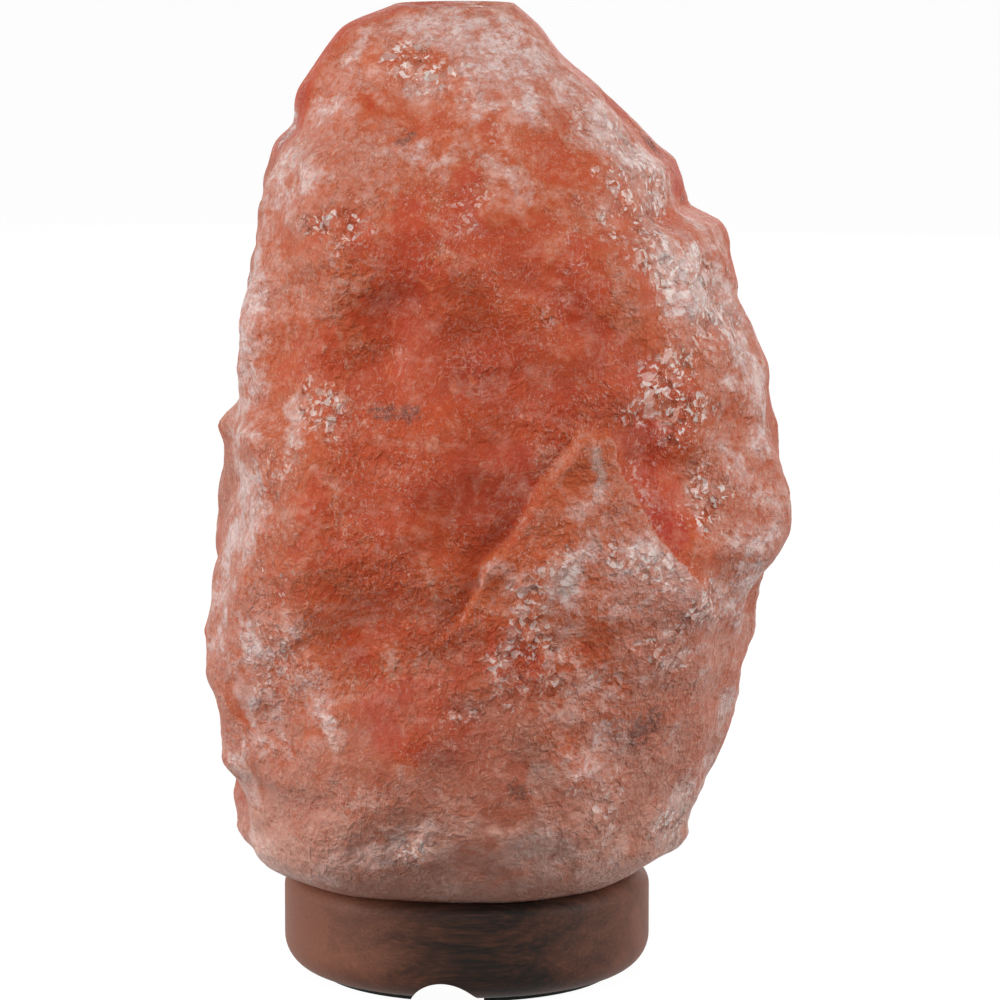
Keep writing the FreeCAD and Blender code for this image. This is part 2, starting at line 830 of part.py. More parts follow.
def glass_stem():
    """Pressed glass foot inside the neck, which seals the two leads and the support wire."""
    foot = stem_foot_diameter / 2
    waist = stem_neck_diameter / 2
    low = glass_level
    top = low + stem_length
    flare = low + stem_flare_height
    body = turned([(0, low + stem_start), (foot, low + stem_start), (waist, flare), (waist, top), (0, top)])
    for wire in lead_wires() + [support_wire()]:
        body = body.cut(wire)
    return body


def filament():
    """The filament strung in two straight runs from lead to support to lead."""
    left, right = [ends[2] for ends in lead_ends()]
    crown = point(0, 0, left.z + filament_rise)
    start = point(left.x, 0, left.z + lead_diameter / 2)
    end = point(right.x, 0, right.z + lead_diameter / 2)
    radius = filament_diameter / 2
    return rod(radius, start, crown).fuse(rod(radius, crown, end)).removeSplitter()


os.makedirs("parts", exist_ok=True)
save("wooden_base", wooden_base())
save("felt_pad", felt_pad())
save("salt_crystal", salt_crystal())
save("crystal_screws", *crystal_screws())
save("wall_plugs", *wall_plugs())
save("cover_cup", cover_cup())
save("clip_roots", *clip_roots())
save("clip_rivets", *clip_rivets())
for order, clip_angle in enumerate(clip_angles()):
    save("clip_arm_%d" % (order + 1), turned_about(clip_arm(), clip_angle))
save("nipple", nipple())
save("lock_washer", lock_washer())
save("nipple_nut", nipple_nut())
save("cord_bush", cord_bush())
save("holder_cap", holder_cap())
save("holder_skirt", holder_skirt())
save("holder_core", holder_core())
save("contact_shell", contact_shell())
save("terminal_screws", *terminal_screws())
save("contact_tongue", contact_tongue())
save("bulb_cap", bulb_cap())
save("bulb_insulator", bulb_insulator())
save("foot_contact", foot_contact())
save("bulb_glass", bulb_glass())
save("lead_wires", *lead_wires())
save("support_wire", support_wire())
save("glass_stem", glass_stem())
save("filament", filament())
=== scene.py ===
import math
import bpy
import numpy as np
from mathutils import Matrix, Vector


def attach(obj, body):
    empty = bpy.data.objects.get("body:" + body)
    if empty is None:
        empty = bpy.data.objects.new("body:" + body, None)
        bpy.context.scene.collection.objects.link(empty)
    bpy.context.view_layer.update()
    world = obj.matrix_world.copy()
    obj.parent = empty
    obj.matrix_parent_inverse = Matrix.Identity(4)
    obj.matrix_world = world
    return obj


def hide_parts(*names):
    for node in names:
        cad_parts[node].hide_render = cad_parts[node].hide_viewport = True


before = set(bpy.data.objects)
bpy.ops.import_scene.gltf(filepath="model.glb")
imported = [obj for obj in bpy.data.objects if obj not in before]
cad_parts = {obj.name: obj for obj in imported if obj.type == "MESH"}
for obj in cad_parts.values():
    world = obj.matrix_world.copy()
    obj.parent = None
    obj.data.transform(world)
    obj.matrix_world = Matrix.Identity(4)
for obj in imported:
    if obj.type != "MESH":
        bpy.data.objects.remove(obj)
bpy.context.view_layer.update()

mm = 0.001
print("stage: frame loaded,", len(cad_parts), "nodes")

# What the camera and the light do. Lengths in mm, angles in degrees.
studio = {
    "eyeDistance": 1600.0, "eyeHeightAngle": 9.0, "aimRight": 9.1, "aimUp": 130.2, "lens": 211.8,
    "pictureMiddle": 134.0,      # height that the placed patches are measured from
    "worldGrey": 0.12, "floorGlow": 0.97, "floorGrey": 0.08, "floorBounce": 0.22, "floorHalf": 6000.0,
    "floorLevel": -0.05,
    "lamps": [                   # name, place, width, depth, power in W, aims at this height
        ("leftBox", (-1200, -300, 300), 620, 900, 12.5, 100),
        ("rightBox", (1200, -240, 320), 560, 900, 10.2, 100),
        ("topBox", (-60, -820, 1080), 800, 600, 8.6, 140),
        ("frontFill", (-150, -1700, 300), 900, 900, 2.0, 150),
        ("backFill", (250, 1700, 500), 900, 900, 4.5, 130),
    ],
}


def srgb(red, green, blue):
    # a colour read in 0 to 255 as the linear value that the shader wants
    value = np.array([red, green, blue]) / 255.0
    low = value / 12.92
    high = ((value + 0.055) / 1.055) ** 2.4
    return tuple(float(v) for v in np.where(value <= 0.04045, low, high)) + (1.0,)


def ease(value):
    # 0 below 0, 1 above 1, and a smooth rise between
    held = np.clip(value, 0.0, 1.0)
    return held * held * (3 - 2 * held)


def hashed(i, j, k, seed):
    # three even random numbers for every lattice cell: mix its whole numbers, then read 10 bits each
    mixed = (i * 374761393 + j * 668265263 + k * 2147483647 + seed * 1274126177) & 0xFFFFFFFF
    mixed = ((mixed ^ (mixed >> 13)) * 1274126177) & 0xFFFFFFFF
    mixed = ((mixed ^ (mixed >> 16)) * 2246822519) & 0xFFFFFFFF
    mixed = mixed ^ (mixed >> 15)
    return np.stack([(mixed >> shift) & 1023 for shift in (0, 10, 20)], axis=-1) / 1023.0


def cloud(points, size, seed, octaves=3):
    # smooth noise between -1 and 1: random values on a lattice of this size, eased between its corners,
    # plus finer copies of half the strength
    total = np.zeros(len(points))
    strength, scale, weight = 1.0, size, 0.0
    for octave in range(octaves):
        place = points / scale
        cell = np.floor(place).astype(np.int64)
        part = ease(place - cell)
        value = np.zeros(len(points))
        for corner in np.ndindex(2, 2, 2):
            share = np.prod(np.where(np.array(corner) == 1, part, 1 - part), axis=1)
            value += share * hashed(*(cell + corner).T, seed + octave)[:, 0]
        total += strength * (2 * value - 1)
        weight += strength
        strength *= 0.5
        scale *= 0.5
    return total / weight * 1.6


def brokenFaces(points, size, seed, hollow=1.0, tilt=0.8):
    # conchoidal breaks: every lattice cell holds a seed with a shallow bowl and its own slope, and the surface
    # is the lowest of the bowls near a point, so bowls meet in crisp ridges
    place = points / size
    cell = np.floor(place).astype(np.int64)
    lowest = np.full(len(points), np.inf)
    for step in np.ndindex(3, 3, 3):
        other = cell + np.array(step) - 1
        rand = hashed(*other.T, seed)
        slope = hashed(*other.T, seed + 71) - 0.5
        away = place - other - rand
        bowl = hollow * np.sum(away * away, axis=1) + tilt * np.sum(away * slope, axis=1)
        lowest = np.minimum(lowest, bowl)
    return lowest - lowest.mean()


def steadyCurve(knots, values):
    # a curve through the points that never overshoots: cubics whose slopes are harmonic means of the steps
    knots, values = np.array(knots), np.array(values)
    steps = np.diff(values) / np.diff(knots)
    inner = np.where(steps[:-1] * steps[1:] > 0,
                     2 * steps[:-1] * steps[1:] / np.where(steps[:-1] + steps[1:] == 0, 1, steps[:-1] + steps[1:]), 0)
    rates = np.concatenate([steps[:1], inner, steps[-1:]])

    def at(x):
        i = np.clip(np.searchsorted(knots, x, side="right") - 1, 0, len(knots) - 2)
        width = knots[i + 1] - knots[i]
        t = (x - knots[i]) / width
        rise = values[i] * (1 + 2 * t) * (1 - t) ** 2 + values[i + 1] * t * t * (3 - 2 * t)
        return rise + width * (rates[i] * t * (1 - t) ** 2 - rates[i + 1] * t * t * (1 - t))
    return at


def gridFaces(rows, columns, start=0, flip=False):
    # quads of a grid that closes on itself sideways; flipped when the grid's normals should point the other way
    low = start + np.arange(rows - 1)[:, None] * columns
    here = np.arange(columns)[None, :]
    after = (here + 1) % columns
    quads = np.stack([low + here, low + after, low + columns + after, low + columns + here], axis=-1).reshape(-1, 4)
    return quads[:, ::-1] if flip else quads


def capFaces(ring, middle, flip=False):
    # a fan of triangles from a ring of corners to one middle corner
    after = np.roll(ring, -1)
    fan = np.stack([ring, after, np.full(len(ring), middle)], axis=-1)
    return fan[:, ::-1] if flip else fan


def makePiece(name, corners, faces, smooth=True):
    # corners in mm and lists of quads and triangles into one mesh object
    mesh = bpy.data.meshes.new(name)
    corners = np.asarray(corners, dtype=np.float32) * mm
    loops = np.concatenate([part.reshape(-1) for part in faces]).astype(np.int32)
    sizes = np.concatenate([np.full(len(part), part.shape[1]) for part in faces]).astype(np.int32)
    starts = np.concatenate([[0], np.cumsum(sizes)[:-1]]).astype(np.int32)
    mesh.vertices.add(len(corners))
    mesh.vertices.foreach_set("co", corners.reshape(-1))
    mesh.loops.add(len(loops))
    mesh.loops.foreach_set("vertex_index", loops)
    mesh.polygons.add(len(sizes))
    mesh.polygons.foreach_set("loop_start", starts)
    mesh.polygons.foreach_set("use_smooth", np.full(len(sizes), smooth))
    mesh.update(calc_edges=True)
    mesh.validate()
    piece = bpy.data.objects.new(name, mesh)
    bpy.context.scene.collection.objects.link(piece)
    return piece


def lathe(name, profile, around=96, turnMark=None):
    # a profile of (radius, height) points turned about Z; a point on the axis becomes one pole.
    # turnMark(radius, height, angle) may add to the radius, as a thread does
    profile = np.array(profile, dtype=float)
    angle = np.arange(around) * 2 * math.pi / around
    corners, faces, rings = [], [], []
    count = 0
    for radius, height in profile:
        if radius < 1e-6:
            corners.append(np.array([[0, 0, height]]))
            rings.append(np.array([count]))
            count += 1
            continue
        wide = radius + (turnMark(radius, height, angle) if turnMark else 0)
        corners.append(np.stack([wide * np.cos(angle), wide * np.sin(angle), np.full(around, height)], axis=1))
        rings.append(count + np.arange(around))
        count += around
    closed = len(rings[0]) > 1 and len(rings[-1]) > 1
    pairs = list(zip(rings, rings[1:] + rings[:1])) if closed else list(zip(rings, rings[1:]))
    for low, high in pairs:
        if len(low) == 1 and len(high) == 1:
            continue
        if len(low) == 1:
            faces.append(capFaces(high, low[0], flip=True))
        elif len(high) == 1:
            faces.append(capFaces(low, high[0]))
        else:
            faces.append(np.stack([low, np.roll(low, -1), np.roll(high, -1), high], axis=-1))
    return makePiece(name, np.concatenate(corners), faces)


class Socket:
    # wraps a shader output, so that sums and products of values are written as Python expressions
    def __init__(self, tree, output):
        self.tree, self.output = tree, output

    def maths(self, operation, *values):
        return self.tree.node("ShaderNodeMath", {"operation": operation}, dict(enumerate(values)))

    def __add__(self, other): return self.maths("ADD", self, other)
    def __radd__(self, other): return self.maths("ADD", other, self)
    def __sub__(self, other): return self.maths("SUBTRACT", self, other)
    def __rsub__(self, other): return self.maths("SUBTRACT", other, self)
    def __mul__(self, other): return self.maths("MULTIPLY", self, other)
    def __rmul__(self, other): return self.maths("MULTIPLY", other, self)

    def larger(self, other):
        return self.maths("MAXIMUM", self, other)

    def unsigned(self):
        return self.maths("ABSOLUTE", self)

    def held(self):
        # kept between 0 and 1
        return self.maths("MINIMUM", self, 1.0).larger(0.0)

    def over(self, low, high):
        # 0 below low, 1 above high, smooth between
        return self.tree.node("ShaderNodeMapRange", {"interpolation_type": "SMOOTHSTEP", "clamp": True},
                              {0: self, 1: low, 2: high, 3: 0.0, 4: 1.0})


class Surface:
    # one material, or the world, and its nodes
    def __init__(self, name, kind=bpy.data.materials):
        self.owner = kind.new(name)
        self.owner.use_nodes = True
        self.nodes = self.owner.node_tree.nodes
        self.links = self.owner.node_tree.links
        self.nodes.clear()

    def node(self, kind, settings=None, values=None, output=0):
        # any node: its settings first, then its sockets' values or links; gives back one output
        made = self.nodes.new(kind)
        for key, value in (settings or {}).items():
            if key == "stops":
                ramp = made.color_ramp.elements
                for place, (where, colour) in enumerate(value):
                    stop = ramp[place] if place < 2 else ramp.new(where)
                    stop.position, stop.color = where, colour
            else:
                setattr(made, key, value)
        for key, value in (values or {}).items():
            if isinstance(value, Socket):
                self.links.new(value.output, made.inputs[key])
            else:
                made.inputs[key].default_value = value
        return Socket(self, made.outputs[output]) if made.outputs else None

    def place(self, scale=(1, 1, 1), turn=(0, 0, 0), shift=(0, 0, 0)):
        # Object coordinates in mm, stretched, turned or moved
        spot = self.node("ShaderNodeTexCoord", output="Object")
        return self.node("ShaderNodeMapping", {}, {0: spot, 1: shift, 2: tuple(math.radians(a) for a in turn),
                                                   3: tuple(s / mm for s in scale)})

    def noise(self, where, scale, detail=3.0, rough=0.55, warp=0.0):
        # cloudy values between 0 and 1; scale is in waves a millimetre
        return self.node("ShaderNodeTexNoise", {"noise_dimensions": "3D"},
                         {"Vector": where, "Scale": scale, "Detail": detail, "Roughness": rough, "Distortion": warp})

    def warped(self, where, spot, scale, reach):
        # coordinates pushed by a noise of three channels that is read at another spot, up to this reach in mm
        push = self.node("ShaderNodeTexNoise", {}, {"Vector": spot, "Scale": scale, "Detail": 1.0}, output="Color")
        return self.vector("ADD", where, self.vector("SCALE", push, reach))

    def cells(self, where, scale, output="Distance"):
        # broken cells: the distance to each one's middle, or one random colour a cell
        return self.node("ShaderNodeTexVoronoi", {"feature": "F1"}, {"Vector": where, "Scale": scale}, output=output)

    def vector(self, operation, *values):
        named = dict(enumerate(values))
        if operation == "SCALE":
            named = {0: values[0], 3: values[1]}
        return self.node("ShaderNodeVectorMath", {"operation": operation}, named)

    def mix(self, share, first, second):
        # a blend of two colours; share 0 is the first
        return self.node("ShaderNodeMix", {"data_type": "RGBA"}, {0: share, 6: first, 7: second}, output=2)

    def single(self, colour):
        # one channel of a random colour as a number
        return self.node("ShaderNodeSeparateColor", {}, {0: colour})

    def mark(self, name):
        # a mark that was worked out at every corner of the mesh
        return self.node("ShaderNodeAttribute", {"attribute_name": name}, output="Fac")

    def bump(self, height, depth, strength, under=None):
        # relief of this depth in mm, over another relief where one is given
        values = {"Height": height, "Distance": depth * mm, "Strength": strength}
        if under is not None:
            values["Normal"] = under
        return self.node("ShaderNodeBump", {}, values)

    def seen(self):
        # 1 for what the camera, a gloss or clear glass looks at, 0 for light that falls on things
        camera, gloss, glass = [self.node("ShaderNodeLightPath", output=f"Is {ray} Ray")
                                for ray in ("Camera", "Glossy", "Transmission")]
        return camera.larger(gloss).larger(glass)

    def finish(self, **values):
        # the Principled shader; words in the keys stand for its sockets
        names = {"colour": "Base Color", "roughness": "Roughness", "metallic": "Metallic", "normal": "Normal",
                 "gloss": "Specular IOR Level", "coat": "Coat Weight", "coatRoughness": "Coat Roughness",
                 "inside": "Subsurface Weight", "insideReach": "Subsurface Radius", "insideScale": "Subsurface Scale",
                 "clear": "Transmission Weight", "bend": "IOR", "sheen": "Sheen Weight"}
        shader = self.node("ShaderNodeBsdfPrincipled", {}, {names[key]: value for key, value in values.items()})
        self.node("ShaderNodeOutputMaterial", {}, {"Surface": shader})
        return self.owner


rock = {
    # reaches of the section from the lamp's axis, in mm, and how square it is
    "height": 236.5, "left": 70.5, "right": 90.5, "front": 69.0, "back": 63.0, "power": 2.25,
    # the underside, the flat band round the well, and the well with its drilled cone
    "bottom": 28.5, "footBand": 12.0, "wellRadius": 25.5, "wellDepth": 100.0, "coneHeight": 9.0, "coneShare": 0.25,
    # the grid: corners round, rows up, and how far they crowd towards the front and both ends
    "columns": 400, "rows": 212, "frontCrowding": 0.45, "endCrowding": 0.25,
    # waves of the whole form: height as a share of the length, the longest in mm, and how many
    "wavesHeight": 0.019, "wavesLongest": 74.0, "wavesShrink": 0.84, "wavesPhase": 1.7,
    "waves": 11,
    # the thicker flake in front, whose upper edge is a gable: its peak, the fall of both sides, its thickness, the
    # width of its edge and how it fades out below, towards the foot and towards the sides
    "peakX": 32.5, "peakShare": 0.538, "peakFlat": 4.5, "slopeRight": 1.90, "slopeLeft": 1.50, "step": 4.2,
    "edgeWidth": 1.6, "fadeStart": 22.0, "fadeLength": 60.0, "footShare": 0.28, "footFade": 0.14, "frontShare": 0.4,
    "tornEdge": 4.5, "tornSize": 11.0,
    # how steep a scoop's rim is; in which shares of the height the relief dies down to the flat crown and to the
    # underside, and how much of it stays there
    "scoopRim": 1.35, "crownCalm": 0.1, "footCalm": 0.06, "footLeast": 0.3,
    # broken faces: size, height in mm, seed; and how much of the fine ones stays on the polished places
    "faces": [(27.0, 0.9, 3), (12.0, 0.75, 11), (5.2, 0.50, 29), (2.6, 0.18, 43)], "smoothShare": 0.25,
    "crust": (0.5, 4.0, 7), "pitted": (0.4, 3.2, 19),   # height and size in mm, and seed
    # rings over the flat crown, the share in which broken faces die down to it, and how far they sink, in mm
    "crownRows": 12, "crownFade": 0.03, "crownSink": 1.0, "crownRim": 0.3,
    # places whose marks come from the picture: those this far in front of the axis, and the width of the change
    "markedFrom": 4.0, "markedWidth": 14.0,
    # the clear core in the picture: its middle and half sizes, and where the haze round it starts and how fast
    "core": (0.0, 8.0, 53.0, 82.0), "hazeStart": 0.45, "hazeWidth": 0.75, "hazeTorn": (0.16, 30.0, 37),
    "hazeAround": (46.0, 61),
    "footTop": 0.17, "footTorn": (0.12, 14.0, 47),      # share of the height where the paler foot begins
    # the flake's colour: soft edge, how far it reaches down and back, in mm, and where it ends near the foot
    "gableEdge": 1.4, "gableReach": 34.0, "gableFade": 40.0, "gableFront": 30.0, "gableFoot": (0.3, 0.1),
}

# share of the height, then shares of the reach left, right, front and back
rockRows = [
    (0.000, 0.68, 0.48, 0.66, 0.72), (0.010, 0.78, 0.52, 0.73, 0.78), (0.024, 0.86, 0.58, 0.80, 0.83),
    (0.047, 0.92, 0.655, 0.87, 0.88), (0.071, 0.915, 0.685, 0.92, 0.91), (0.118, 0.89, 0.74, 0.97, 0.95),
    (0.142, 0.925, 0.77, 0.98, 0.97), (0.189, 0.91, 0.785, 1.00, 0.99), (0.237, 0.945, 0.79, 1.00, 1.00),
    (0.331, 0.985, 0.86, 1.00, 1.00), (0.377, 0.98, 0.945, 0.99, 0.99), (0.424, 0.955, 1.00, 0.98, 0.98),
    (0.471, 0.92, 0.975, 0.97, 0.97), (0.517, 0.92, 0.93, 0.95, 0.95), (0.563, 0.83, 0.905, 0.93, 0.93),
    (0.609, 0.83, 0.855, 0.90, 0.91), (0.655, 0.855, 0.80, 0.87, 0.88), (0.701, 0.845, 0.785, 0.83, 0.84),
    (0.747, 0.82, 0.76, 0.78, 0.80), (0.770, 0.81, 0.65, 0.75, 0.77), (0.816, 0.745, 0.63, 0.68, 0.72),
    (0.838, 0.705, 0.57, 0.64, 0.69), (0.861, 0.635, 0.515, 0.60, 0.65), (0.906, 0.60, 0.39, 0.50, 0.55),
    (0.952, 0.52, 0.275, 0.37, 0.42), (0.974, 0.47, 0.225, 0.29, 0.33), (1.000, 0.27, 0.145, 0.16, 0.18),
]

# scoops (below zero) and swellings: degrees from +X, share of height, half width, half height, lean, depth
rockScoops = [
    (262, 0.62, 40, 27, -20, -4.5), (246, 0.30, 36, 26, 15, -3.5), (300, 0.74, 22, 26, 35, 2.5),
    (318, 0.47, 22, 15, -25, -3.0), (225, 0.82, 24, 20, 10, 2.0), (205, 0.47, 16, 34, 5, -2.0),
    (290, 0.12, 34, 16, 8, 2.5), (340, 0.24, 20, 26, -12, 2.0), (20, 0.60, 34, 30, 25, -5.0),
    (62, 0.34, 38, 34, -30, -5.5), (98, 0.68, 34, 40, 18, 4.0), (130, 0.28, 32, 28, -15, 3.5),
    (158, 0.58, 30, 36, 30, -5.0), (84, 0.90, 22, 18, 0, -3.5),
]

